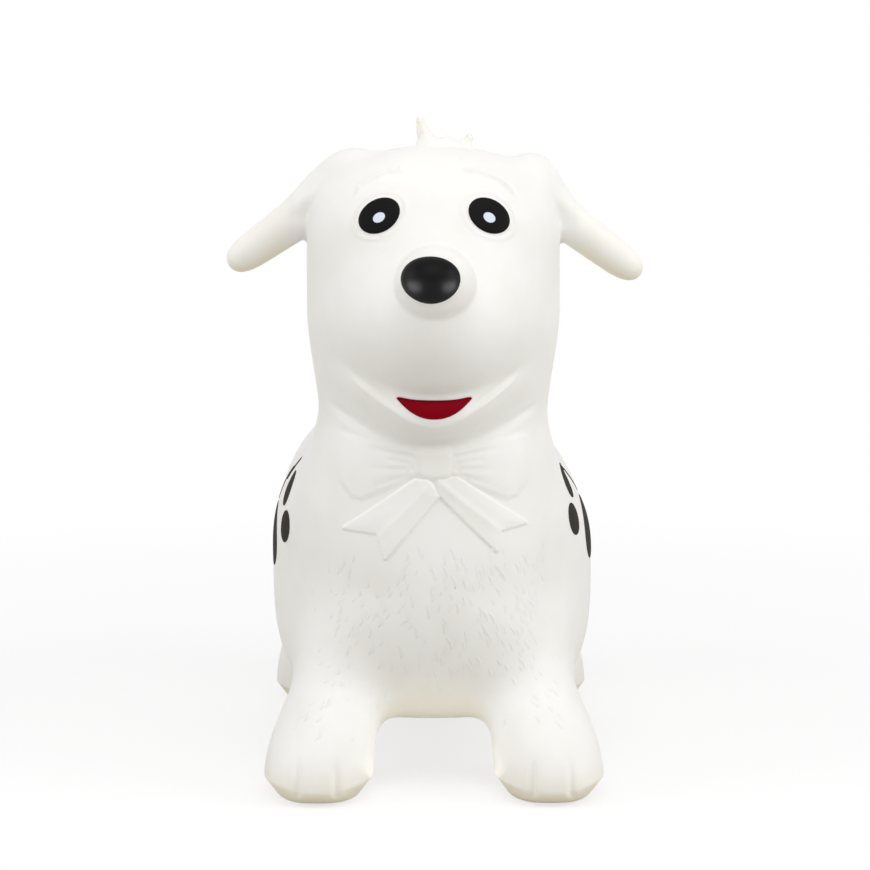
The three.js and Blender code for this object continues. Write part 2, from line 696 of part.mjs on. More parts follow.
// Legs and feet: each foot is the cup below the leg's open tube
LEGS.forEach((leg, i) => {
  const skin = legForm(leg, 0, 0).subtract(legHollows[i]);
  const tube = skin.intersect(slab(FOOT_HEIGHT + SEAM_GAP, FAR));
  const upper = tube.subtract(trunkSeam).subtract(headForm(SEAM_GAP));
  const foot = skin.intersect(slab(-FAR, FOOT_HEIGHT));
  const pivot = new THREE.Vector3(leg.side * leg.x, leg.y, 0);
  addNode(body, `${leg.name}_leg`, mainBody(upper), WHITE_SKIN, pivot);
  addNode(feet, `${leg.name}_foot`, mainBody(foot), WHITE_SKIN, pivot);
});

// Ears: a hollow lobe on a round root, cut clear of the head over its whole flex
const headAround = sockets.reduce((form, socket) => form.subtract(socket), headForm(EAR_CLEARANCE));
SIDES.forEach(({ name, side }) => {
  const lobe = earForm(side, 0).intersect(earHub(side, 0).add(outsideHinge(side)));
  const hollow = earForm(side, -WALL, HOLLOW_DETAIL);
  const steps = Array.from({ length: EAR_FLEX_STEPS + 1 }, (_, i) =>
    THREE.MathUtils.lerp(-EAR_FLEX, EAR_FLEX, i / EAR_FLEX_STEPS),
  );
  const clear = steps.reduce(
    (skin, degrees) => skin.subtract(turnedAboutEar(headAround, side, degrees)),
    lobe.subtract(hollow),
  );
  addNode(body, `${name}_ear`, mainBody(clear), WHITE_SKIN, earFrame(side).hinge);
});

// Tail and hair tuft
addNode(
  body,
  "tail",
  mainBody(tailForm.subtract(tailHollow).subtract(trunkSeam)),
  WHITE_SKIN,
  tailPoints[1],
);

function hairTuft() {
  const at = (x, z) => new THREE.Vector3(x, HEAD_Y - HAIR_SETFORWARD, CROWN + z);
  const lock = (x, lean, height) => {
    const points = [at(x, -HAIR_ROOT_DEPTH), at(x + lean * 0.4, height * 0.15), at(x + lean, height)];
    return taperedTube(points, HAIR_RADIUS, HAIR_SIDES);
  };
  const ridge = ball(at(HAIR_RIDGE_X, -HAIR_RADIUS), HAIR_RIDGE_HALF_LENGTH, HAIR_RADIUS, HAIR_RADIUS);
  return ridge
    .add(lock(TALL_LOCK_X, TALL_LOCK_LEAN, TALL_LOCK_HEIGHT))
    .add(lock(SHORT_LOCK_X, SHORT_LOCK_LEAN, SHORT_LOCK_HEIGHT))
    .add(lock(SIDE_LOCK_X, SIDE_LOCK_LEAN, SIDE_LOCK_HEIGHT));
}
addNode(body, "hair_tuft", mainBody(hairTuft().subtract(headForm(SEAM_GAP))), WHITE_SKIN);

// Nose, eyes, glints and mouth
const noseTip = FACE_Y - MUZZLE_REACH - SNOUT_REACH - NOSE_REACH;
const noseCentre = new THREE.Vector3(0, noseTip + NOSE_DEPTH, CROWN - NOSE_DROP);
const nose = ball(noseCentre, NOSE_WIDTH / 2, NOSE_DEPTH, NOSE_HEIGHT / 2);
addNode(body, "nose", mainBody(nose.subtract(headForm(SEAM_GAP))), GLOSS_BLACK, noseCentre);

const facePrism = (shape) => frontPrism(shape, -FAR / 2, HEAD_Y);
const printTop = SEAM_GAP + PRINT_THICKNESS;
SIDES.forEach(({ name, side }) => {
  const x = (side * EYE_SPACING) / 2;
  const z = CROWN - EYE_DROP;
  const eye = facePrism(ellipseShape(x, z, EYE_LENGTH, EYE_WIDTH, -side * EYE_TILT));
  const glint = facePrism(ellipseShape(x, z - 1, GLINT_LENGTH, GLINT_WIDTH, -side * EYE_TILT));
  const glintLow = printTop + SEAM_GAP;
  addNode(body, `${name}_eye`, layer(eye, headForm, SEAM_GAP, printTop), BLACK_PRINT);
  const glintLayer = layer(glint, headForm, glintLow, glintLow + PRINT_THICKNESS);
  addNode(body, `${name}_eye_glint`, glintLayer, PALE_PRINT);
});
addNode(body, "mouth", layer(facePrism(mouthShape()), headForm, SEAM_GAP, printTop), RED_PRINT);

// Bow: knot, loops and ribbon ends in low relief on the neck and chest
const chestPrism = (shape) => frontPrism(shape, -FAR / 2, CHEST_Y + NECK_SETBACK);
const relief = (shape, height) => layer(chestPrism(shape), bodyForm, SEAM_GAP, SEAM_GAP + height);
const knot = relief(knotShape(), BOW_RELIEF * 1.7);
addNode(body, "bow_knot", knot, WHITE_SKIN);
const knotClear = chestPrism(
  ellipseShape(0, KNOT_Z, KNOT_WIDTH + 2 * SEAM_GAP, KNOT_HEIGHT + 2 * SEAM_GAP, 0),
);
SIDES.forEach(({ name, side }) => {
  const loop = relief(loopShape(side), BOW_RELIEF).subtract(knotClear);
  const loopClear = chestPrism(loopShape(side));
  const ribbon = relief(ribbonShape(side), BOW_RELIEF * 0.8).subtract(knotClear);
  addNode(body, `bow_${name}_loop`, mainBody(loop), WHITE_SKIN);
  addNode(body, `bow_${name}_ribbon`, mainBody(ribbon.subtract(loopClear)), WHITE_SKIN);
});

// Paw print on each flank: one pad and four toes ahead of it and above it
const TOE_ANGLES = [159, 121, 83, 45];
SIDES.forEach(({ name, side, pawSetback, pawHeight }) => {
  const pawY = CHEST_Y + pawSetback;
  const pawZ = BELLY_HEIGHT + pawHeight;
  const onFlank = (shape) => layer(sidePrism(shape, side), bodyForm, SEAM_GAP, printTop);
  const pad = ellipseShape(pawY, pawZ, PAW_PAD_LENGTH, PAW_PAD_HEIGHT, 12);
  addNode(body, `${name}_paw_pad`, onFlank(pad), BLACK_PRINT);
  TOE_ANGLES.forEach((degrees, i) => {
    const angle = THREE.MathUtils.degToRad(degrees);
    const y = pawY + PAW_TOE_SPREAD * Math.cos(angle);
    const z = pawZ + PAW_TOE_SPREAD * Math.sin(angle);
    const toe = ellipseShape(y, z, PAW_TOE_LENGTH, PAW_TOE_WIDTH, degrees);
    addNode(body, `${name}_paw_toe_${i + 1}`, onFlank(toe), BLACK_PRINT);
  });
});

// Valve seat and plug, at their place in the rump
addNode(body, "valve_seat", valveSeat(), WHITE_SKIN, valvePlace);
addNode(body, "valve_plug", valvePlug(), PLUG_PLASTIC, valvePlace);

export default toy;
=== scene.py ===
"""Dresses an inflatable dog hopper: moulded skin, painted face, flank prints, air valve and studio.

Shapes are worked out in millimetres in the frame of the construction (+Z up, the dog faces -Y and
its own left is +X) and become metres when a mesh is made.
"""

from __future__ import annotations

import logging
import math
from dataclasses import dataclass, field
from enum import Enum
from typing import Callable

import bpy
import numpy as np
from bpy.types import GeometryNodeTree, Material, Node, NodeSocket, NodeTree, Object
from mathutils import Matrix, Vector
from mathutils.bvhtree import BVHTree

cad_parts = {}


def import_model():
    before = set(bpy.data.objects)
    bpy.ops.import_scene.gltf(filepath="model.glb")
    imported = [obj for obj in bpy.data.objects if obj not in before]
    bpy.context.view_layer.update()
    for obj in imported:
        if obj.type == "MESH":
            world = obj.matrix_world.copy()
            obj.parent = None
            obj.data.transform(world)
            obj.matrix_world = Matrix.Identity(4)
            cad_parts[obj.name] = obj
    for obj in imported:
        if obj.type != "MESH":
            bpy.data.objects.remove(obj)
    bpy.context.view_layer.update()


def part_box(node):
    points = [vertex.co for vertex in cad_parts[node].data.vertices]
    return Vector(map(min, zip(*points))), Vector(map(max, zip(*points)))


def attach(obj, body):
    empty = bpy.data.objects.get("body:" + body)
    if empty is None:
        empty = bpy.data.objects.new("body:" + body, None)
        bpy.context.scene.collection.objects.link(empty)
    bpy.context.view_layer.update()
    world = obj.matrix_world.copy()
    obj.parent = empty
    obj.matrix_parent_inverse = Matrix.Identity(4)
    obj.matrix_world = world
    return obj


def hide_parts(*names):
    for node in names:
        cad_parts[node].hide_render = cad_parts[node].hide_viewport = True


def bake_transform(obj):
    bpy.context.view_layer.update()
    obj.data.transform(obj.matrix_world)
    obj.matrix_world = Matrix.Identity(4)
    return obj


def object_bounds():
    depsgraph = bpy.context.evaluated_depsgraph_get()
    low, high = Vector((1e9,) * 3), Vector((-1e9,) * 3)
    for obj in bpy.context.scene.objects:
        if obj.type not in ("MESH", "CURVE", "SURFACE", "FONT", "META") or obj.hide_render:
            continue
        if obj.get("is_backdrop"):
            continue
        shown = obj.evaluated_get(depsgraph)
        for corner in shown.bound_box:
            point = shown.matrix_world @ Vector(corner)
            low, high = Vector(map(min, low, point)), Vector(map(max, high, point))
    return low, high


LOG = logging.getLogger("dog_hopper")
MM = 0.001  # metres in a millimetre
CHUNK = 120_000  # points worked out at a time
VALVE_CENTRE = (0.0, 256.0, 154.0)  # mm
BEFORE_TOY = -600.0  # y of the plane that the face is drawn on, in mm
BESIDE_TOY = 400.0  # distance from which a flank is looked for, in mm
OFF_FLANK = 40.0  # distance of a print's plane from the flank, in mm

Array = np.ndarray
Level = Callable[[Array], Array]
Relief = Callable[[Array, Array], Array]
Outline = Array
Point2 = tuple[float, float]
Point3 = tuple[float, float, float]
Path2 = tuple[Point2, ...]
Path3 = tuple[Point3, ...]
Lamp = tuple[str, Point3, Point3, float, float]  # name, place, aim, edge in m and watts


class Side(Enum):
    """The dog's own left and right, by the sign of X."""

    LEFT = 1
    RIGHT = -1

    @property
    def word(self) -> str:
        """Name of the side as the nodes use it."""
        return self.name.lower()


# Small shaping functions


def smoothstep(low: float, high: float, value: Array) -> Array:
    """Smooth rise from 0 at low to 1 at high (or a fall, where low is above high)."""
    share = np.clip((value - low) / (high - low), 0.0, 1.0)
    return share * share * (3.0 - 2.0 * share)


def bell(distance: Array, width: float) -> Array:
    """Bell-shaped cross-section of a ridge or a groove."""
    return np.exp(-((distance / width) ** 2))


def mix(low: Array | float, high: Array | float, share: Array | float) -> Array:
    """Value at a share of the way from low to high."""
    return low + (high - low) * share


def smooth_union(first: Array, second: Array, fillet: float) -> Array:
    """Distances to two joined forms, with their inner corner rounded over the fillet's reach."""
    overlap = np.maximum(fillet - np.abs(first - second), 0.0)
    return np.minimum(first, second) - overlap * overlap / (4.0 * fillet)


def near_distance(level: Level, points: Array, step: float = 0.4) -> Array:
    """Turns a level function into distances near its surface, by its slope.

    Args:
        level: The level function.
        points: Points in mm.
        step: Step over which the slope is measured.

    Returns:
        Distances in mm.
    """
    base = level(points)
    slope = np.zeros_like(base)
    for axis in range(3):
        moved = points.copy()
        moved[:, axis] += step
        slope += ((level(moved) - base) / step) ** 2
    return base / np.sqrt(np.maximum(slope, 1e-8))


def rounded(first: Array, second: Array, section: float | Array) -> Array:
    """Reach in a cross-section that is round at 2 and squarer above."""
    return (first**section + second**section) ** (1.0 / section)


def distance_to_path(points: Array, path: Array) -> Array:
    """Distance from points to a path of straight stretches, in two or three dimensions.

    Args:
        points: The points.
        path: Points of the path, in order.

    Returns:
        A distance for each point.
    """
    best = np.full(len(points), np.inf)
    for start, end in zip(path[:-1], path[1:]):
        run = end - start
        share = np.clip((points - start) @ run / (run @ run), 0.0, 1.0)
        best = np.minimum(best, np.linalg.norm(points - (start + share[:, None] * run), axis=1))
    return best


def distance_to_outline(points: Array, outline: Outline) -> Array:
    """Distance from 2-D points to a closed outline, negative inside it.

    Args:
        points: The points.
        outline: Points of the outline, in order.

    Returns:
        A distance for each point.
    """
    closed = np.vstack([outline, outline[:1]])
    inside = np.zeros(len(points), dtype=bool)
    for start, end in zip(closed[:-1], closed[1:]):
        spans = (start[1] > points[:, 1]) != (end[1] > points[:, 1])
        rise = np.where(end[1] == start[1], 1e-9, end[1] - start[1])
        crossing = start[0] + (points[:, 1] - start[1]) * (end[0] - start[0]) / rise
        inside ^= spans & (points[:, 0] < crossing)
    reach = distance_to_path(points, closed)
    return np.where(inside, -reach, reach)


def tapered_path(points: Array, path: Array, radii: Array, fillet: float) -> Array:
    """Distance to a tube along a path whose radius changes from point to point.

    Args:
        points: Points in mm.
        path: Points of the path, in order.
        radii: Radius at each of them.
        fillet: Reach of the rounding between two stretches.

    Returns:
        Distances in mm.
    """
    best = np.full(len(points), 1e6)
    for start, end, thick, thin in zip(path[:-1], path[1:], radii[:-1], radii[1:]):
        run = end - start
        share = np.clip((points - start) @ run / (run @ run), 0.0, 1.0)
        reach = np.linalg.norm(points - (start + share[:, None] * run), axis=1)
        best = smooth_union(best, reach - mix(thick, thin, share), fillet)
    return best


def ellipse(centre: Point2, size: Point2, tilt: float, count: int = 72) -> Outline:
    """Closed elliptical outline.

    Args:
        centre: Middle of the ellipse.
        size: Its two whole axes.
        tilt: Turn of the first axis, in degrees.
        count: Points on it.

    Returns:
        The points, anticlockwise.
    """
    turn = np.linspace(0.0, 2.0 * math.pi, count, endpoint=False)
    along = np.cos(turn) * size[0] / 2.0
    across = np.sin(turn) * size[1] / 2.0
    angle = math.radians(tilt)
    first = centre[0] + along * math.cos(angle) - across * math.sin(angle)
    second = centre[1] + along * math.sin(angle) + across * math.cos(angle)
    return np.column_stack([first, second])


# Forms of the inflated toy, as level functions that are negative inside


class LevelForm:
    """A closed form given by a level function that is negative inside."""

    def level(self, points: Array) -> Array:
        """Level function of the form."""
        raise NotImplementedError

    def distance(self, points: Array) -> Array:
        """Distances from points to the form, negative inside."""
        return near_distance(self.level, points)


@dataclass(frozen=True)
class Ellipsoid:
    """A rounded lump."""

    centre: Point3
    radii: Point3

    def distance(self, points: Array) -> Array:
        """Distances from points to the lump, negative inside.

        Args:
            points: Points in mm.

        Returns:
            Distances in mm.
        """
        offset = (points - np.array(self.centre)) / np.array(self.radii)
        reach = np.linalg.norm(offset, axis=1)
        slope = np.linalg.norm(offset / np.array(self.radii), axis=1)
        return reach * (reach - 1.0) / np.maximum(slope, 1e-6)


@dataclass(frozen=True)
class Boss(LevelForm):
    """A round boss that faces forwards: flat before and steep at its rim."""

    centre: Point3
    radii: Point3
    squareness: float

    def level(self, points: Array) -> Array:
        """Level function of the boss.

        Args:
            points: Points in mm.

        Returns:
            Its values at the points.
        """
        offset = np.abs(points - np.array(self.centre)) / np.array(self.radii)
        rim = np.hypot(offset[:, 0], offset[:, 2])
        return rounded(rim, offset[:, 1], self.squareness) - 1.0


@dataclass(frozen=True)
class BentLine:
    """A line that is round at the toy's middle and rises straight to both sides."""

    bend: float
    slope: float

    def rise(self, x: Array) -> Array:
        """Height of the line above its lowest point at places across the toy."""
        return np.sqrt(self.bend**2 + (self.slope * x) ** 2) - self.bend


JAW_LINE = BentLine(bend=60.0, slope=0.83)


@dataclass(frozen=True)
class Trunk(LevelForm):
    """Barrel from the chest to the rump, fuller below than above."""

    front: float = -222.0
    length: float = 478.0
    width: float = 255.0
    depth: float = 230.0
    belly: float = 39.0
    saddle_dip: float = 7.0
    saddle_length: float = 130.0
    left_upper_section: float = 2.1
    right_upper_section: float = 2.45
    lower_section: float = 3.2
    chest_roundness: float = 2.6
    rump_roundness: float = 4.0
    back_roundness: float = 7.0
    belly_roundness: float = 6.0

    def level(self, points: Array) -> Array:
        """Level function of the barrel.

        Args:
            points: Points in mm.

        Returns:
            Its values at the points.
        """
        middle = self.front + self.length / 2.0
        share = (points[:, 1] - middle) / (self.length / 2.0)
        saddle = bell(points[:, 1] - middle, self.saddle_length / 2.0)
        up = (points[:, 2] - self.belly - self.depth / 2.0) / (self.depth / 2.0)
        up = up + self.saddle_dip * saddle / (self.depth / 2.0) * np.clip(up, 0.0, 1.0)
        across = np.abs(points[:, 0]) / (self.width / 2.0)
        upper = np.where(points[:, 0] > 0, self.left_upper_section, self.right_upper_section)
        section = np.where(up > 0, upper, self.lower_section)
        reach = rounded(across, np.abs(up), section)
        steepness = up**2 / np.maximum(across**2 + up**2, 1e-9)
        ends = np.where(share < 0, self.chest_roundness, self.rump_roundness)
        roundness = mix(ends, np.where(up > 0, self.back_roundness, self.belly_roundness), steepness)
        return np.sqrt(reach**2 + np.abs(share) ** roundness) - 1.0


@dataclass(frozen=True)
class Head(LevelForm):
    """Upright head with its neck, muzzle, snout, chin and the swellings over the ear roots."""

    crown: float = 478.0
    width: float = 189.0
    depth: float = 182.0
    middle: float = -140.0
    cheek_drop: float = 120.0
    neck_width: float = 172.0
    neck_depth: float = 166.0
    neck_middle: float = -125.0
    neck_drop: float = 208.0
    root_top: float = 255.0
    root_bottom: float = 150.0
    root_size: float = 0.5
    crown_across: float = 5.8
    crown_along: float = 3.0
    axis_softness: float = 0.01
    section: float = 2.3
    muzzle: Ellipsoid = Ellipsoid((0.0, -202.0, 355.0), (64.0, 60.0, 62.0))
    snout: Boss = Boss((0.5, -246.5, 382.0), (28.8, 23.5, 27.0), 2.8)
    chin: Ellipsoid = Ellipsoid((0.0, -160.0, 287.5), (75.0, 75.0, 30.0))
    left_swelling: Ellipsoid = Ellipsoid((73.0, -140.0, 450.5), (18.0, 22.0, 22.0))
    right_swelling: Ellipsoid = Ellipsoid((-60.0, -140.0, 454.0), (22.0, 24.0, 22.0))
    jaw: BentLine = JAW_LINE
    muzzle_fillet: float = 20.0
    snout_fillet: float = 2.4
    chin_fillet: float = 9.0
    swelling_fillet: float = 10.0

    def level(self, points: Array) -> Array:
        """Level function of the head and neck without their lumps.

        Args:
            points: Points in mm.

        Returns:
            Its values at the points.
        """
        cheek = self.crown - self.cheek_drop
        rise = np.maximum(points[:, 2] - cheek, 0.0) / self.cheek_drop
        narrowing = smoothstep(cheek, self.crown - self.neck_drop, points[:, 2])
        sinking = mix(1.0, self.root_size, smoothstep(self.root_top, self.root_bottom, points[:, 2]))
        half_width = mix(self.width, self.neck_width, narrowing) * sinking / 2.0
        half_depth = mix(self.depth, self.neck_depth, narrowing) * sinking / 2.0
        across = np.abs(points[:, 0]) / half_width
        along = np.abs(points[:, 1] - mix(self.middle, self.neck_middle, narrowing)) / half_depth
        reach = rounded(across, along, self.section)
        steepness = (along**2 + self.axis_softness) / (across**2 + along**2 + 2.0 * self.axis_softness)
        roundness = mix(self.crown_across, self.crown_along, steepness)
        column = np.sqrt(reach**2 + rise**roundness) - 1.0
        return np.maximum(column, (self.root_bottom - points[:, 2]) / half_width)

    def distance(self, points: Array) -> Array:
        """Distances from points to the whole head, negative inside.

        Args:
            points: Points in mm.

        Returns:
            Distances in mm.
        """
        form = near_distance(self.level, points)
        form = smooth_union(form, self.muzzle.distance(points), self.muzzle_fillet)
        form = smooth_union(form, self.snout.distance(points), self.snout_fillet)
        level_jaw = points - np.outer(self.jaw.rise(points[:, 0]), (0.0, 0.0, 1.0))
        form = smooth_union(form, self.chin.distance(level_jaw), self.chin_fillet)
        for swelling in (self.left_swelling, self.right_swelling):
            form = smooth_union(form, swelling.distance(points), self.swelling_fillet)
        return form


@dataclass(frozen=True)
class Leg(LevelForm):
    """One leg of a pair, with its foot and flat sole, on the dog's left."""

    foot_x: float
    foot_y: float
    tuck: float
    lean: float
    taper: float
    shorten: float
    foot_width: float = 81.0
    foot_length: float = 108.0
    top: float = 135.0
    root_size: float = 0.5
    ankle: float = 14.0
    side_inset: float = 13.0
    side_edge: float = 16.0
    toe_inset: float = 26.0
    toe_edge: float = 13.0
    section: float = 2.4
    side_start: Point2 = (0.3, 0.95)  # shares of the half width where toe edge becomes side edge
    side_slope: float = 0.8
    side_curve: float = 0.2
    root_start: float = 0.65  # shares of the top's height where the leg sinks into the trunk
    root_end: float = 1.15

    def level(self, points: Array) -> Array:
        """Level function of the leg, cut off flat at the floor.

        Args:
            points: Points in mm.

        Returns:
            Its values at the points.
        """
        height = points[:, 2]
        climb = smoothstep(self.ankle, self.top, height)
        sideways = np.abs(points[:, 0] - self.foot_x) / (self.foot_width / 2.0)
        beside = smoothstep(*self.side_start, sideways)
        edge = mix(self.toe_edge, self.side_edge, beside)
        share = np.clip(1.0 - height / edge, 0.0, 1.0)
        straight = self.side_slope * share + self.side_curve * share**2
        chamfer = mix(1.0 - np.sqrt(1.0 - share**2), straight, beside)
        sunk = smoothstep(self.root_start * self.top, self.root_end * self.top, height)
        sinking = mix(1.0, self.root_size, sunk)
        half_width = (self.foot_width / 2.0 - self.side_inset * chamfer - self.taper * climb) * sinking
        half_length = (self.foot_length / 2.0 - self.toe_inset * chamfer - self.shorten * climb) * sinking
        across = np.abs(points[:, 0] - self.foot_x + self.tuck * climb) / half_width
        along = np.abs(points[:, 1] - self.foot_y - self.lean * climb) / half_length
        reach = rounded(across, along, self.section) - 1.0
        root = (height - self.root_end * self.top) / half_width
        return np.maximum(np.maximum(reach, -height / half_width), root)

    def distance(self, points: Array) -> Array:
        """Distances from points to the leg, negative inside.

        Args:
            points: Points in mm.

        Returns:
            Distances in mm.
        """
        beside = np.abs(points[:, 0] - self.foot_x) - self.foot_width / 2.0 - self.tuck
        before = np.abs(points[:, 1] - self.foot_y) - self.foot_length / 2.0 - self.lean
        return np.maximum(near_distance(self.level, points), np.maximum(beside, before))


FRONT_LEG = Leg(foot_x=85.5, foot_y=-195.0, tuck=29.0, lean=50.0, taper=10.0, shorten=22.0)
HIND_LEG = Leg(foot_x=92.5, foot_y=144.0, tuck=24.0, lean=10.0, taper=5.0, shorten=-2.0)


@dataclass(frozen=True)
class EarForm(LevelForm):
    """Drooping ear on the dog's left: a flattened lobe along a line from its root to its tip."""

    root: Point3
    droop: float
    length: float
    root_width: float
    tip_width: float
    thickness: float = 28.0
    tip_thickness: float = 0.86  # share of it that is left at the tip
    thinning: Point2 = (0.2, 0.8)  # shares of the length where it gets thinner
    widest: float = 1.4  # share of the length, from the tip, where the root stops widening
    tip_roundness: float = 8.0
    inner_roundness: int = 3
    depth_in_head: float = 34.0

    @property
    def along(self) -> Array:
        """Direction from the root to the tip."""
        return np.array([math.cos(math.radians(self.droop)), 0.0, -math.sin(math.radians(self.droop))])

    @property
    def across(self) -> Array:
        """Direction over the broad face, upwards."""
        return np.array([math.sin(math.radians(self.droop)), 0.0, math.cos(math.radians(self.droop))])

    def local(self, points: Array) -> tuple[Array, Array, Array]:
        """Places of points along the ear, over its broad face and through it, from the root."""
        offset = points - np.array(self.root)
        return offset @ self.along, offset @ self.across, offset[:, 1]

    def level(self, points: Array) -> Array:
        """Level function of the lobe.

        Args:
            points: Points in mm.

        Returns:
            Its values at the points.
        """
        along, across, through = self.local(points)
        share = along / self.length
        rootward = np.clip(1.0 - share, 0.0, self.widest) ** 2
        half_width = mix(self.tip_width, self.root_width, rootward) / 2.0
        thinned = mix(1.0, self.tip_thickness, smoothstep(*self.thinning, share))
        half_thickness = self.thickness / 2.0 * thinned
        tip = np.clip(share, 0.0, None) ** self.tip_roundness
        inner_end = np.clip(-along / self.depth_in_head, 0.0, None) ** self.inner_roundness
        return np.sqrt((across / half_width) ** 2 + (through / half_thickness) ** 2 + tip + inner_end) - 1.0


@dataclass(frozen=True)
class TailForm:
    """Short tail that curves upwards from the rump."""

    root: Point3 = (0.0, 222.0, 213.0)
    bend: Point3 = (0.0, 264.0, 226.0)
    tip: Point3 = (0.0, 266.0, 276.0)
    root_radius: float = 17.5
    tip_radius: float = 9.0
    taper: float = 1.2
    stretches: int = 16
    joint: float = 0.5  # rounding between the stretches
    reach: float = 60.0  # from the rump, beyond which a point is off the tail

    def distance(self, points: Array) -> Array:
        """Distances from points to the tail, negative inside.

        Args:
            points: Points in mm.

        Returns:
            Distances in mm.
        """
        share = np.linspace(0.0, 1.0, self.stretches + 1)[:, None]
        before = mix(np.array(self.root), np.array(self.bend), share)
        path = mix(before, mix(np.array(self.bend), np.array(self.tip), share), share)
        radii = mix(self.root_radius, self.tip_radius, share[:, 0] ** self.taper)
        form = np.linalg.norm(points - np.array(self.root), axis=1)
        near = points[:, 1] > self.root[1] - self.reach
        form[near] = tapered_path(points[near], path, radii, self.joint)
        return form


@dataclass(frozen=True)
class ToyForm:
    """The whole inflated form: trunk, head, legs, ears and tail in one skin."""

    trunk: Trunk = Trunk()
    head: Head = Head()
    legs: tuple[Leg, ...] = (FRONT_LEG, HIND_LEG)
    left_ear: EarForm = EarForm(
        root=(94.5, -132.0, 426.0), droop=36.2, length=76.0, root_width=30.5, tip_width=26.5
    )
    right_ear: EarForm = EarForm(
        root=(94.5, -132.0, 429.0), droop=35.0, length=71.5, root_width=33.5, tip_width=27.0
    )
    tail: TailForm = TailForm()
    neck_fillet: float = 40.0
    leg_fillet: float = 24.0
    ear_fillet: float = 6.0  # under an ear
    ear_top_fillet: float = 26.0
    ear_top: Point2 = (-4.0, 12.0)  # mm over an ear's line where the one becomes the other
    tail_fillet: float = 14.0

    def distance(self, points: Array) -> Array:
        """Distances from points to the skin, negative inside.

        Args:
            points: Points in mm.

        Returns:
            Distances in mm.
        """
        mirrored = points.copy()
        mirrored[:, 0] = np.abs(mirrored[:, 0])
        form = self.trunk.distance(points)
        for leg in self.legs:
            form = smooth_union(form, leg.distance(mirrored), self.leg_fillet)
        form = smooth_union(form, self.head.distance(points), self.neck_fillet)
        form = smooth_union(form, self.tail.distance(mirrored), self.tail_fillet)
        for side, ear in ((Side.LEFT, self.left_ear), (Side.RIGHT, self.right_ear)):
            facing = points * np.array([side.value, 1.0, 1.0])
            above = smoothstep(*self.ear_top, ear.local(facing)[1])
            fillet = mix(self.ear_fillet, self.ear_top_fillet, above)
            form = smooth_union(form, ear.distance(facing), fillet)
        return np.maximum(form, -points[:, 2])


# Meshing of a form


def in_chunks(work: Callable[[Array], Array], points: Array) -> Array:
    """Works out a function of many points a part at a time."""
    parts = [work(points[i : i + CHUNK]) for i in range(0, len(points), CHUNK)]
    return np.concatenate(parts) if parts else np.zeros(0)


def surface_normals(distance: Level, points: Array, step: float = 0.5) -> Array:
    """Unit directions in which a distance grows fastest.

    Args:
        distance: The distance function.
        points: Points near its surface.
        step: Step over which it is measured.

    Returns:
        A direction for each point.
    """

    def slope(part: Array) -> Array:
        """Change of the distance along the three axes."""
        columns = []
        for axis in range(3):
            shift = np.zeros(3)
            shift[axis] = step
            columns.append(distance(part + shift) - distance(part - shift))
        return np.column_stack(columns)

    if len(points) == 0:
        return np.zeros((0, 3))
    slopes = in_chunks(slope, points)
    return slopes / np.maximum(np.linalg.norm(slopes, axis=1, keepdims=True), 1e-9)


def settle(distance: Level, points: Array, rounds: int = 2, reach: float = 4.0) -> Array:
    """Moves points onto the surface of a form.

    Args:
        distance: Distance function of the form.
        points: Points near its surface.
        rounds: Times that they are moved.
        reach: Most that a point moves in one round, in mm.

    Returns:
        The moved points.
    """
    for _ in range(rounds):
        if len(points):
            move = np.clip(in_chunks(distance, points), -reach, reach)
            points = points - surface_normals(distance, points) * move[:, None]
    return points


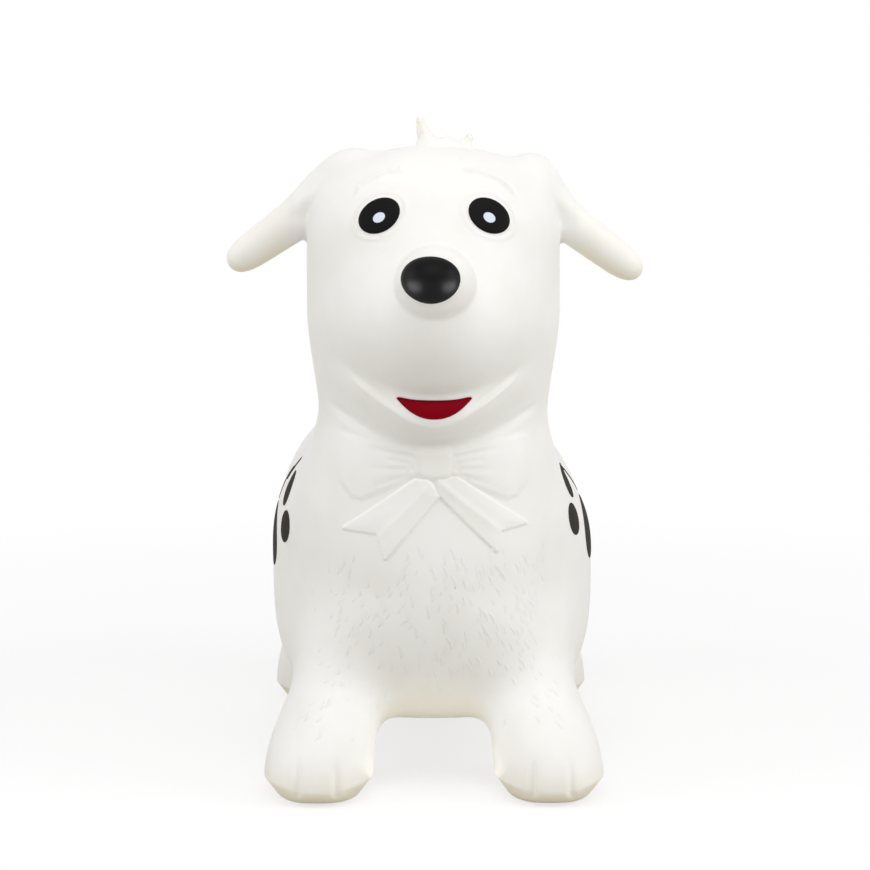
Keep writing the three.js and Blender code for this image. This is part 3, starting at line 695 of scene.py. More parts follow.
@dataclass
class TriangleMesh:
    """Vertices in mm and triangles that share them."""

    vertices: Array
    triangles: Array

    def edges(self) -> tuple[Array, Array]:
        """Edges of the mesh.

        Returns:
            The pairs of vertices, and for each triangle the numbers of its three edges.
        """
        pairs = self.triangles[:, [0, 1, 1, 2, 2, 0]].reshape(-1, 2)
        unique, inverse = np.unique(np.sort(pairs, axis=1), axis=0, return_inverse=True)
        return unique, inverse.reshape(-1, 3)

    def split(self, marked: Array, places: Array) -> None:
        """Puts a new vertex on each marked edge and divides the triangles around it.

        Args:
            marked: True for each edge that is split, in the order of edges().
            places: The new vertices, one for each marked edge.
        """
        _, sides = self.edges()
        number = np.full(len(marked), -1)
        number[marked] = len(self.vertices) + np.arange(int(marked.sum()))
        self.vertices = np.vstack([self.vertices, places])
        middle = number[sides]
        count = (middle >= 0).sum(axis=1)
        made = [self.triangles[count == 0]]
        for turn in range(3):
            corner = np.roll(self.triangles, -turn, axis=1)
            between = np.roll(middle, -turn, axis=1)
            one = (count == 1) & (between[:, 0] >= 0)
            a, b, c = corner[one].T
            m = between[one, 0]
            made += [np.column_stack([a, m, c]), np.column_stack([m, b, c])]
            two = (count == 2) & (between[:, 2] < 0)
            a, b, c = corner[two].T
            m, n = between[two, 0], between[two, 1]
            made += [np.column_stack(row) for row in ((m, b, n), (a, m, n), (a, n, c))]
        a, b, c = self.triangles[count == 3].T
        m, n, o = middle[count == 3].T
        made += [np.column_stack(row) for row in ((a, m, o), (m, b, n), (o, n, c), (m, n, o))]
        self.triangles = np.concatenate(made)

    def part(self, chosen: Array) -> tuple[TriangleMesh, Array]:
        """Chosen triangles as a mesh of their own, and the old numbers of its vertices."""
        used, inverse = np.unique(self.triangles[chosen], return_inverse=True)
        return TriangleMesh(self.vertices[used], inverse.reshape(-1, 3)), used

    def cap(self) -> None:
        """Closes each open rim with a fan about its middle."""
        pairs = self.triangles[:, [0, 1, 1, 2, 2, 0]].reshape(-1, 2)
        keys = {(int(a), int(b)) for a, b in pairs}
        after = {b: a for a, b in keys if (b, a) not in keys}
        while after:
            first, second = next(iter(after.items()))
            rim = [first]
            while second != first:
                rim.append(second)
                second = after[second]
            for vertex in rim:
                del after[vertex]
            hub = len(self.vertices)
            self.vertices = np.vstack([self.vertices, self.vertices[rim].mean(axis=0)])
            fan = [(vertex, rim[(i + 1) % len(rim)], hub) for i, vertex in enumerate(rim)]
            self.triangles = np.vstack([self.triangles, fan])


def net_quads(inside: Array, number: Array) -> Array:
    """Faces of a net, one round each grid edge that passes through the surface.

    Args:
        inside: True for each grid point inside the form.
        number: Number of the net's vertex in each cell.

    Returns:
        Four vertex numbers for each face, in the order that makes it point outwards.
    """
    quads = []
    for axis in range(3):
        rows = np.moveaxis(inside, axis, 0)
        edges = np.argwhere(rows[:-1] != rows[1:])
        starts = np.insert(edges[:, 1:], axis, edges[:, 0], axis=1)
        ring = []
        for first, second in ((-1, -1), (0, -1), (0, 0), (-1, 0)):
            cells = starts.copy()
            cells[:, (axis + 1) % 3] += first
            cells[:, (axis + 2) % 3] += second
            ring.append(number[tuple(cells.T)])
        quad = np.column_stack(ring)
        turned = ~inside[tuple(starts.T)]
        quad[turned] = quad[turned][:, ::-1]
        quads.append(quad)
    return np.concatenate(quads)


def surface_net(distance: Level, low: Array, high: Array, cell: float) -> TriangleMesh:
    """Wraps a form in a closed net of triangles.

    Args:
        distance: Distance function of the form.
        low: Lower corner of a box around it.
        high: Upper corner of that box.
        cell: Size of a cell, in mm.

    Returns:
        The net, with its faces pointing outwards.
    """
    counts = np.ceil((high - low) / cell).astype(int) + 1
    axes = [low[i] + cell * np.arange(counts[i]) for i in range(3)]
    grid = np.stack(np.meshgrid(*axes, indexing="ij"), axis=-1).reshape(-1, 3)
    values = in_chunks(distance, grid).reshape(counts)
    inside = values < 0.0
    corners = [np.array([i, j, k]) for i in (0, 1) for j in (0, 1) for k in (0, 1)]
    cells = counts - 1
    filled = np.zeros(cells, dtype=int)
    for i, j, k in corners:
        filled += inside[i : i + cells[0], j : j + cells[1], k : k + cells[2]]
    active = (filled > 0) & (filled < len(corners))
    number = np.full(cells, -1)
    number[active] = np.arange(int(active.sum()))
    places = np.argwhere(active)
    total = np.zeros((len(places), 3))
    hits = np.zeros(len(places))
    for first in corners:
        for axis in np.flatnonzero(first == 0):
            second = first.copy()
            second[axis] = 1
            start = values[tuple((places + first).T)]
            end = values[tuple((places + second).T)]
            crosses = (start < 0.0) != (end < 0.0)
            share = np.where(crosses, start / np.where(crosses, start - end, 1.0), 0.0)
            total += crosses[:, None] * (first + share[:, None] * (second - first))
            hits += crosses
    vertices = low + cell * (places + total / hits[:, None])
    quads = net_quads(inside, number)
    first = np.linalg.norm(vertices[quads[:, 0]] - vertices[quads[:, 2]], axis=1)
    second = np.linalg.norm(vertices[quads[:, 1]] - vertices[quads[:, 3]], axis=1)
    swap = second < first
    quads[swap] = np.roll(quads[swap], -1, axis=1)
    return TriangleMesh(vertices, np.concatenate([quads[:, [0, 1, 2]], quads[:, [0, 2, 3]]]))


@dataclass(frozen=True)
class Fineness:
    """How closely a net follows a form and its relief."""

    longest: float = 7.0  # mm between vertices anywhere
    turn: float = 9.0  # degrees between neighbouring normals
    shortest_turn: float = 2.5  # mm, where the form turns
    relief_error: float = 0.04  # mm
    shortest_relief: float = 0.65  # mm, on the relief's edges
    passes: int = 6

    def refine(self, net: TriangleMesh, form: ToyForm, relief: Relief) -> Array:
        """Divides a net until it follows the form and its relief.

        Args:
            net: The net, changed in place.
            form: The form that it lies on.
            relief: Height of the relief at points with their normals.

        Returns:
            The outward normals of the form at the net's vertices.
        """
        net.vertices = settle(form.distance, net.vertices, rounds=3)
        normals = surface_normals(form.distance, net.vertices)
        heights = relief(net.vertices, normals)
        for _ in range(self.passes):
            edges, _ = net.edges()
            first, second = net.vertices[edges[:, 0]], net.vertices[edges[:, 1]]
            length = np.linalg.norm(first - second, axis=1)
            middle = (first + second) / 2.0
            facing = (normals[edges[:, 0]] * normals[edges[:, 1]]).sum(axis=1)
            halfway = normals[edges[:, 0]] + normals[edges[:, 1]]
            halfway /= np.maximum(np.linalg.norm(halfway, axis=1, keepdims=True), 1e-9)
            expected = (heights[edges[:, 0]] + heights[edges[:, 1]]) / 2.0
            error = np.abs(relief(middle, halfway) - expected)
            marked = length > self.longest
            marked |= (facing < math.cos(math.radians(self.turn))) & (length > self.shortest_turn)
            marked |= (error > self.relief_error) & (length > self.shortest_relief)
            if not marked.any():
                break
            added = settle(form.distance, middle[marked])
            added_normals = surface_normals(form.distance, added)
            net.split(marked, added)
            normals = np.vstack([normals, added_normals])
            heights = np.concatenate([heights, relief(added, added_normals)])
        return normals


# Relief moulded into the skin


@dataclass(frozen=True)
class FaceRelief:
    """Brows, eye bosses, smile, mouth recess and jaw line."""

    brow: Path2 = ((20.0, 461.0), (33.0, 460.0), (45.0, 455.5), (53.0, 450.0), (62.0, 440.0))
    brow_start: Point2 = (18.0, 26.0)  # such pairs say where a form fades in or out
    brow_end: Point2 = (61.0, 54.0)
    brow_height: float = 2.1
    brow_width: float = 1.4
    eye_centre: Point2 = (39.5, 429.0)
    eye_size: Point2 = (32.0, 23.0)
    eye_tilt: float = 31.0
    eye_boss: float = 1.2
    eye_edge: Point2 = (1.16, 0.86)
    eye_rim: float = 0.7
    eye_rim_place: float = 1.3
    eye_rim_width: float = 1.4
    vents: Path2 = ((-26.5, 462.5), (18.0, 469.5))
    vent_depth: float = 0.7
    vent_radius: float = 1.3
    mouth_corner: Point2 = (27.0, 298.0)
    mouth_bottom: float = 283.6
    mouth_dip: float = 297.0
    mouth_peak: float = 2.9
    mouth_depth: float = 1.2
    mouth_wall: Point2 = (-0.8, 1.0)
    mouth_bow: float = 2.2  # powers that shape the mouth's two edges
    mouth_rise: int = 3
    mouth_tuck: int = 12
    smile_bottom: float = 277.5
    smile: BentLine = BentLine(bend=16.0, slope=0.78)
    smile_lean: float = 0.6  # share of the slope that its width is measured across
    smile_end: Point2 = (66.0, 50.0)
    lip_height: float = 1.5
    lip_width: float = 2.6
    lip_groove: float = 1.2
    lip_groove_start: Point2 = (20.0, 34.0)
    lip_groove_rise: float = 4.6
    jaw_bottom: float = 261.0
    jaw: BentLine = JAW_LINE
    jaw_lean: float = 0.5
    jaw_end: Point2 = (84.0, 64.0)
    jaw_groove: float = 1.8
    jaw_groove_width: float = 3.4
    jaw_ridge: float = 0.35
    jaw_ridge_drop: float = 6.0
    jaw_ridge_width: float = 2.6

    def eye_reach(self, points: Array) -> Array:
        """Place of points on the eyes' ellipses, where 1 is an eye's edge.

        Args:
            points: Points in mm.

        Returns:
            A share of the way to the edge for each point.
        """
        angle = math.radians(-self.eye_tilt)
        along = np.abs(points[:, 0]) - self.eye_centre[0]
        up = points[:, 2] - self.eye_centre[1]
        first = (along * math.cos(angle) + up * math.sin(angle)) / (self.eye_size[0] / 2.0)
        second = (up * math.cos(angle) - along * math.sin(angle)) / (self.eye_size[1] / 2.0)
        return np.hypot(first, second)

    def mouth_edges(self, x: Array) -> tuple[Array, Array]:
        """Lower and upper edge of the mouth at places across it.

        Args:
            x: Places from the mouth's middle.

        Returns:
            Heights of the lower edge and of the upper one.
        """
        share = np.clip(np.abs(x) / self.mouth_corner[0], 0.0, 1.0)
        low = mix(self.mouth_bottom, self.mouth_corner[1], share**self.mouth_bow)
        arch = self.mouth_dip - self.mouth_corner[1] + self.mouth_peak * share**self.mouth_rise
        return low, self.mouth_corner[1] + arch * np.sqrt(1.0 - share**self.mouth_tuck)

    def mouth_outline(self, count: int = 48) -> Outline:
        """Closed outline of the painted mouth.

        Args:
            count: Points on each edge.

        Returns:
            The points, in order.
        """
        x = self.mouth_corner[0] * np.sin(np.linspace(-math.pi / 2.0, math.pi / 2.0, count))
        low, high = self.mouth_edges(x)
        upper = np.column_stack([x[::-1], high[::-1]])[1:-1]
        return np.vstack([np.column_stack([x, low]), upper])

    def height(self, points: Array) -> Array:
        """Height of the face's relief, in mm.

        Args:
            points: Points in mm.

        Returns:
            A height for each point.
        """
        across, up = np.abs(points[:, 0]), points[:, 2]
        flat = np.column_stack([across, up])
        total = self.brow_height * bell(distance_to_path(flat, np.array(self.brow)), self.brow_width)
        total *= smoothstep(*self.brow_end, across) * smoothstep(*self.brow_start, across)
        reach = self.eye_reach(points)
        total += self.eye_boss * smoothstep(*self.eye_edge, reach)
        beyond = (reach - self.eye_rim_place) * self.eye_size[1] / 2.0
        total += self.eye_rim * bell(beyond, self.eye_rim_width)
        for place in self.vents:
            offset = np.hypot(points[:, 0] - place[0], up - place[1])
            total -= self.vent_depth * bell(offset, self.vent_radius)
        low, high = self.mouth_edges(across)
        depth = np.minimum(np.minimum(up - low, high - up), self.mouth_corner[0] - across)
        total -= self.mouth_depth * smoothstep(*self.mouth_wall, depth)
        rise = up - self.smile_bottom - self.smile.rise(across)
        rise /= math.hypot(1.0, self.smile_lean * self.smile.slope)
        fade = smoothstep(*self.smile_end, across)
        groove = fade * smoothstep(*self.lip_groove_start, across)
        total += fade * self.lip_height * bell(rise, self.lip_width)
        total -= groove * self.lip_groove * bell(rise - self.lip_groove_rise, self.lip_width)
        fall = up - self.jaw_bottom - self.jaw.rise(across)
        fall /= math.hypot(1.0, self.jaw_lean * self.jaw.slope)
        fade = smoothstep(*self.jaw_end, across)
        total -= fade * self.jaw_groove * bell(fall, self.jaw_groove_width)
        total += fade * self.jaw_ridge * bell(fall + self.jaw_ridge_drop, self.jaw_ridge_width)
        return total


@dataclass(frozen=True)
class BowRelief:
    """Bow under the chin: a knot, two gathered loops and two forked ribbon ends."""

    knot_centre: Point2 = (0.6, 248.6)
    knot_size: Point2 = (29.0, 25.0)
    knot_height: float = 2.3
    knot_section: float = 3.4
    knot_edge: Point2 = (1.16, 0.66)  # such pairs say where a form fades in or out
    loop: Path2 = (
        (10.0, 257.0), (40.0, 263.0), (72.0, 268.0), (78.0, 252.0), (68.0, 232.0), (60.5, 223.0),
        (53.0, 221.5), (35.4, 229.5), (17.7, 238.5), (10.0, 241.0),
    )
    loop_height: float = 1.9
    loop_edge: float = 2.6
    loop_pillow: float = 12.0
    loop_end: Point2 = (82.0, 58.0)
    pleats: tuple[Path2, ...] = (
        ((16.0, 253.5), (50.0, 259.0)), ((17.0, 244.5), (45.0, 244.0)), ((18.0, 248.5), (34.0, 251.0)),
        ((20.0, 239.5), (44.0, 231.5)),
    )
    pleat_depth: float = 0.8
    pleat_width: float = 2.3
    pleat_end: Point2 = (56.0, 22.0)
    right_ribbon: Path2 = (
        (-4.0, 237.0), (-13.7, 237.5), (-66.5, 200.5), (-67.0, 198.6), (-41.9, 196.6), (-36.6, 178.6),
        (-34.6, 178.8), (4.4, 224.9),
    )
    left_ribbon: Path2 = (
        (2.5, 226.5), (4.5, 224.0), (45.6, 182.6), (47.6, 184.4), (48.8, 198.2), (68.6, 201.6),
        (67.6, 204.2), (16.5, 239.5), (2.0, 237.0),
    )
    ribbon_height: float = 2.3
    ribbon_pillow: float = 8.0
    left_share: float = 0.85  # of the ribbons' height
    right_fold: Path2 = ((-2.0, 233.0), (-44.0, 190.0))
    left_fold: Path2 = ((6.0, 233.0), (54.0, 193.0))
    fold_height: float = 0.7
    fold_width: float = 2.6
    edge: float = 1.3
    rim_share: float = 0.72  # of a raised shape's height, at its rim

    def raised(self, flat: Array, outline: Path2, pillow: float, edge: float) -> Array:
        """Share of a raised shape's height at points, steep at its edge and pillowed inside."""
        reach = distance_to_outline(flat, np.array(outline))
        return smoothstep(edge, -edge, reach) * mix(self.rim_share, 1.0, smoothstep(0.0, -pillow, reach))

    def ribbon(self, flat: Array, outline: Path2, fold: Path2, height: float) -> Array:
        """Height of a ribbon end with the fold along it, in mm."""
        ridge = bell(distance_to_path(flat, np.array(fold)), self.fold_width)
        return self.raised(flat, outline, self.ribbon_pillow, self.edge) * (height + self.fold_height * ridge)

    def height(self, points: Array) -> Array:
        """Height of the bow's relief, in mm.

        Args:
            points: Points in mm.

        Returns:
            A height for each point.
        """
        flat = points[:, [0, 2]]
        mirrored = np.abs(flat)
        loops = self.loop_height * self.raised(mirrored, self.loop, self.loop_pillow, self.loop_edge)
        loops *= smoothstep(*self.loop_end, mirrored[:, 0])
        for pleat in self.pleats:
            crease = bell(distance_to_path(mirrored, np.array(pleat)), self.pleat_width)
            loops -= self.pleat_depth * crease * smoothstep(*self.pleat_end, mirrored[:, 0])
        right = self.ribbon(flat, self.right_ribbon, self.right_fold, self.ribbon_height)
        left = self.ribbon(flat, self.left_ribbon, self.left_fold, self.ribbon_height * self.left_share)
        ends = np.maximum(right, left)
        offset = np.abs((flat - np.array(self.knot_centre)) / (np.array(self.knot_size) / 2.0))
        knot = self.knot_height * smoothstep(*self.knot_edge, rounded(*offset.T, self.knot_section))
        return np.maximum(np.maximum(loops, ends), knot)


@dataclass(frozen=True)
class FootRelief:
    """Grooves between the toes of each foot."""

    legs: tuple[Leg, ...] = (FRONT_LEG, HIND_LEG)
    groove_spacing: float = 28.0
    groove_low: Point2 = (5.0, 11.0)  # heights where a groove fades in and out
    groove_high: Point2 = (42.0, 22.0)
    groove_depth: float = 1.9
    groove_width: float = 2.6
    reach_back: float = 26.0

    def height(self, points: Array) -> Array:
        """Height of the toes' relief, in mm.

        Args:
            points: Points in mm.

        Returns:
            A height for each point.
        """
        total = np.zeros(len(points))
        across, up = np.abs(points[:, 0]), points[:, 2]
        rise = smoothstep(*self.groove_low, up) * smoothstep(*self.groove_high, up)
        for leg in self.legs:
            front = leg.foot_y - leg.foot_length / 2.0
            fade = smoothstep(front + self.reach_back, front + self.reach_back / 2.0, points[:, 1])
            fade *= points[:, 1] > front - self.reach_back
            for side in (-0.5, 0.5):
                place = across - leg.foot_x - side * self.groove_spacing
                total -= self.groove_depth * bell(place, self.groove_width) * rise * fade
        return total


@dataclass(frozen=True)
class ValveRecess:
    """Open well in the rump that the valve sits in."""

    centre: Point3 = VALVE_CENTRE
    radius: float = 9.6
    depth: float = 22.0
    wall: Point2 = (0.5, 0.7)  # from the radius outwards and inwards
    lip: float = 1.0
    lip_radius: float = 13.0
    lip_wall: Point2 = (2.0, 1.0)
    reach_in: float = 20.0  # from the centre, before which nothing belongs to the well

    def height(self, points: Array) -> Array:
        """Height of the well and of the raised lip around it, in mm.

        Args:
            points: Points in mm.

        Returns:
            A height for each point.
        """
        reach = np.hypot(points[:, 0] - self.centre[0], points[:, 2] - self.centre[2])
        behind = points[:, 1] > self.centre[1] - self.reach_in
        well = smoothstep(self.radius + self.wall[0], self.radius - self.wall[1], reach)
        lip = smoothstep(self.lip_radius + self.lip_wall[0], self.lip_radius - self.lip_wall[1], reach)
        return behind * (self.lip * lip - self.depth * well)


@dataclass(frozen=True)
class SkinRelief:
    """All the relief of the moulded skin."""

    face: FaceRelief = FaceRelief()
    bow: BowRelief = BowRelief()
    feet: FootRelief = FootRelief()
    valve: ValveRecess = ValveRecess()
    head_from: float = 170.0
    front_until: float = -60.0
    facing: Point2 = (0.12, 0.4)  # how far a surface faces forwards where the front's relief fades in

    def height(self, points: Array, normals: Array) -> Array:
        """Height of the relief at points of the skin, in mm along its normals.

        Args:
            points: Points in mm.
            normals: Outward directions there.

        Returns:
            A height for each point.
        """
        total = self.feet.height(points)
        share = smoothstep(*self.facing, -normals[:, 1])
        front = (points[:, 2] > self.head_from) & (points[:, 1] < self.front_until) & (share > 0.0)
        if front.any():
            near = points[front]
            relief = self.face.height(near) + self.bow.height(near)
            total[front] += relief * share[front]
        return total + self.valve.height(points)


# Finishes


def linear(hex_colour: str) -> tuple[float, float, float, float]:
    """Turns an sRGB hex colour into a linear one with full alpha.

    Args:
        hex_colour: The colour, such as #FFFFFF.

    Returns:
        Red, green, blue and alpha.
    """
    parts = [int(hex_colour[i : i + 2], 16) / 255.0 for i in (1, 3, 5)]
    light = [p / 12.92 if p <= 0.04045 else ((p + 0.055) / 1.055) ** 2.4 for p in parts]
    return (light[0], light[1], light[2], 1.0)


def add_node(
    tree: NodeTree,
    kind: str,
    values: dict[str | int, object] | None = None,
    links: dict[str | int, NodeSocket] | None = None,
    **settings: object,
) -> Node:
    """Adds a node with its settings, input values and links.

    Args:
        tree: Tree that takes the node.
        kind: Type of the node.
        values: Values of its inputs, by name or number.
        links: Sockets that feed its inputs, by name or number.
        **settings: Properties of the node.

    Returns:
        The new node.
    """
    node = tree.nodes.new(kind)
    for name, value in settings.items():
        setattr(node, name, value)
    for socket, value in (values or {}).items():
        node.inputs[socket].default_value = value
    for socket, source in (links or {}).items():
        tree.links.new(source, node.inputs[socket])
    return node


def new_material(name: str) -> tuple[Material, NodeTree]:
    """Empty node material and its tree.

    Args:
        name: Name of the material.

    Returns:
        The material and the tree.
    """
    material = bpy.data.materials.new(name)
    material.use_nodes = True
    material.node_tree.nodes.clear()
    return material, material.node_tree


def per_metre(millimetres: float) -> float:
    """Scale of a pattern in the object's space, from its real size."""
    return 1.0 / (millimetres * MM)


@dataclass(frozen=True)
class Surface:
    """How light leaves a finish: gloss, patterned roughness and a fine grain."""

    roughness: float
    spread: float  # of the roughness over the pattern
    gloss: float
    ior: float
    grain_height: float  # mm
    grain_strength: float

    def close(
        self,
        tree: NodeTree,
        colour: NodeSocket,
        pattern: NodeSocket,
        grain: NodeSocket,
        more: dict[str, object] | None = None,
    ) -> None:
        """Ends a material with its shader.

        Args:
            tree: Tree of the material.
            colour: Socket with the colour.
            pattern: Socket with the pattern of the roughness.
            grain: Socket with the grain's height.
            more: Further values of the shader, by name.
        """
        ends = {"To Min": self.roughness - self.spread / 2, "To Max": self.roughness + self.spread / 2}
        rough = add_node(tree, "ShaderNodeMapRange", ends, {"Value": pattern}).outputs["Result"]
        relief = {"Strength": self.grain_strength, "Distance": self.grain_height * MM}
        bump = add_node(tree, "ShaderNodeBump", relief, {"Height": grain}).outputs["Normal"]
        values = {"IOR": self.ior, "Specular IOR Level": self.gloss} | (more or {})
        links = {"Base Color": colour, "Roughness": rough, "Normal": bump}
        shader = add_node(tree, "ShaderNodeBsdfPrincipled", values, links).outputs["BSDF"]
        add_node(tree, "ShaderNodeOutputMaterial", links={"Surface": shader})


@dataclass(frozen=True)
class MouldedVinyl:
    """Soft PVC, rotation moulded: satin, faintly mottled, a little see-through at thin places."""

    name: str = "rotomoulded_white_pvc"
    colour: str = "#F3F2EF"
    shade: str = "#F0EEEA"
    # cream is the valve seat's own tint and also the painted warm shade on undersides and on the tuft's upper
    # locks
    cream: str = "#F1E6C6"
    surface: Surface = Surface(
        roughness=0.56, spread=0.1, gloss=0.38, ior=1.53, grain_height=0.05, grain_strength=0.35
    )
    mottle_mm: float = 55.0
    mottle_detail: float = 3.0
    mottle_roughness: float = 0.55
    mottle_ends: Point2 = (0.35, 0.6)  # of the noise, for the shade and the colour
    grain_mm: float = 2.2  # coarser than the real grain, which is too fine to show
    grain_detail: float = 2.0
    subsurface: float = 0.1
    subsurface_radius: Point3 = (0.006, 0.005, 0.004)  # m

    def material(self) -> Material:
        """Builds the material; the skin's warmth attribute brings in the cream tint, which on the undersides
        and the tuft's upper locks is painted warm shade.

        Returns:
            The material.
        """
        material, tree = new_material(self.name)
        place = {"Vector": add_node(tree, "ShaderNodeTexCoord").outputs["Object"]}
        values = {
            "Scale": per_metre(self.mottle_mm),
            "Detail": self.mottle_detail,
            "Roughness": self.mottle_roughness,
        }
        mottle = add_node(tree, "ShaderNodeTexNoise", values, place).outputs["Fac"]
        values = {"Scale": per_metre(self.grain_mm), "Detail": self.grain_detail}
        grain = add_node(tree, "ShaderNodeTexNoise", values, place).outputs["Fac"]
        ramp = add_node(tree, "ShaderNodeValToRGB", links={"Fac": mottle})
        colours = (self.shade, self.colour)
        for element, end, colour in zip(ramp.color_ramp.elements, self.mottle_ends, colours):
            element.position = end
            element.color = linear(colour)
        # warmth brings in the cream, partly painted warm shade
        warmth = add_node(tree, "ShaderNodeAttribute", attribute_name="warmth").outputs["Fac"]
        tinted = {0: warmth, 6: ramp.outputs["Color"]}
        warm = add_node(tree, "ShaderNodeMix", {7: linear(self.cream)}, tinted, data_type="RGBA").outputs[2]
        depth = {
            "Subsurface Weight": self.subsurface,
            "Subsurface Radius": self.subsurface_radius,
            "Subsurface Scale": 1.0,
        }
        self.surface.close(tree, warm, mottle, grain, depth)
        return material


@dataclass(frozen=True)
class SprayedPaint:
    """Flexible paint sprayed through a mask: even, with an edge in a colour of its own."""

    name: str
    colour: str
    edge_colour: str
    roughness: float
    gloss: float = 0.12
    ior: float = 1.5
    spread: float = 0.14  # of the roughness over the speckle
    edge_start: float = 0.9
    speckle_mm: float = 1.6  # coarser than the real speckle, which is too fine to show
    speckle_detail: float = 4.0
    speckle_roughness: float = 0.6
    speckle_height: float = 0.03  # mm
    speckle_strength: float = 0.25

    def material(self) -> Material:
        """Builds the material; the patch's rim attribute runs from 0 at its middle to 1 at its edge.

        Returns:
            The material.
        """
        material, tree = new_material(self.name)
        place = {"Vector": add_node(tree, "ShaderNodeTexCoord").outputs["Object"]}
        values = {
            "Scale": per_metre(self.speckle_mm),
            "Detail": self.speckle_detail,
            "Roughness": self.speckle_roughness,
        }
        speckle = add_node(tree, "ShaderNodeTexNoise", values, place).outputs["Fac"]
        rim = add_node(tree, "ShaderNodeAttribute", attribute_name="rim").outputs["Fac"]
        ends = {"From Min": self.edge_start, "From Max": 1.0}
        edge = add_node(tree, "ShaderNodeMapRange", ends, {"Value": rim}).outputs["Result"]
        colours = {6: linear(self.colour), 7: linear(self.edge_colour)}
        blend = add_node(tree, "ShaderNodeMix", colours, {0: edge}, data_type="RGBA").outputs[2]
        surface = Surface(
            self.roughness, self.spread, self.gloss, self.ior, self.speckle_height, self.speckle_strength
        )
        surface.close(tree, blend, speckle, speckle)
        return material


@dataclass(frozen=True)
class Finishes:
    """The finishes of the toy's pieces."""

    # Warm white with a soft satin sheen and cream undersides, which are painted warm shade
    skin: MouldedVinyl = MouldedVinyl()
    # Nearly black, almost without a shine
    eye_black: SprayedPaint = SprayedPaint("sprayed_black_eye_paint", "#0A0A0A", "#1C1B1B", 0.5, gloss=0.08)
    # Cool pale spot that makes the eye look wet
    glint: SprayedPaint = SprayedPaint("sprayed_pale_blue_paint", "#DFE5F4", "#C9CEDC", 0.5)
    # Deep red with a darker edge
    mouth_red: SprayedPaint = SprayedPaint(
        "sprayed_deep_red_paint", "#840015", "#5A0913", 0.45, edge_start=0.95, gloss=0.05
    )
    # Black that shows two soft reflections
    nose_black: SprayedPaint = SprayedPaint("satin_black_nose_paint", "#050506", "#050506", 0.4, gloss=0.08)
    # Dull charcoal
    print_black: SprayedPaint = SprayedPaint("sprayed_charcoal_paint", "#3A3632", "#45413D", 0.7, gloss=0.02)
    # Dull, slightly grey white
    plug_white: SprayedPaint = SprayedPaint("moulded_polythene", "#EAE8E2", "#EAE8E2", 0.4)


# Pieces


def make_object(
    name: str,
    vertices: Array,
    faces: Array | list,
    material: Material,
    attributes: dict[str, Array] | None = None,
) -> Object:
    """Makes a smooth-shaded mesh object in the frame of the construction.

    Args:
        name: Name of the piece.
        vertices: Its vertices, in mm.
        faces: Its faces, by vertex number.
        material: Its finish.
        attributes: Values at the vertices, by name.

    Returns:
        The object, at the origin.
    """
    mesh = bpy.data.meshes.new(name)
    rows = faces.tolist() if isinstance(faces, np.ndarray) else faces
    mesh.from_pydata((np.asarray(vertices) * MM).tolist(), [], rows)
    mesh.materials.append(material)
    mesh.polygons.foreach_set("use_smooth", np.ones(len(mesh.polygons), dtype=bool))
    for attribute, values in (attributes or {}).items():
        layer = mesh.attributes.new(attribute, "FLOAT", "POINT")
        layer.data.foreach_set("value", np.asarray(values, dtype=np.float32))
    mesh.update()
    piece = bpy.data.objects.new(name, mesh)
    bpy.context.scene.collection.objects.link(piece)
    LOG.info("%s: %d triangles", name, sum(len(face) - 2 for face in rows))
    return piece


def stand_for(piece: Object, body: str, node: str) -> None:
    """Lets a piece ride on a body in place of a node.

    Args:
        piece: The piece.
        body: Body that it moves with.
        node: Node that it replaces.
    """
    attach(piece, body)
    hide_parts(node)


def mesh_normals(net: TriangleMesh) -> Array:
    """Vertex normals of a net, weighted by area.

    Args:
        net: The net.

    Returns:
        A direction for each vertex.
    """
    corners = net.vertices[net.triangles]
    faces = np.cross(corners[:, 1] - corners[:, 0], corners[:, 2] - corners[:, 0])
    normals = np.zeros_like(net.vertices)
    for corner in range(3):
        np.add.at(normals, net.triangles[:, corner], faces)
    return normals / np.maximum(np.linalg.norm(normals, axis=1, keepdims=True), 1e-12)


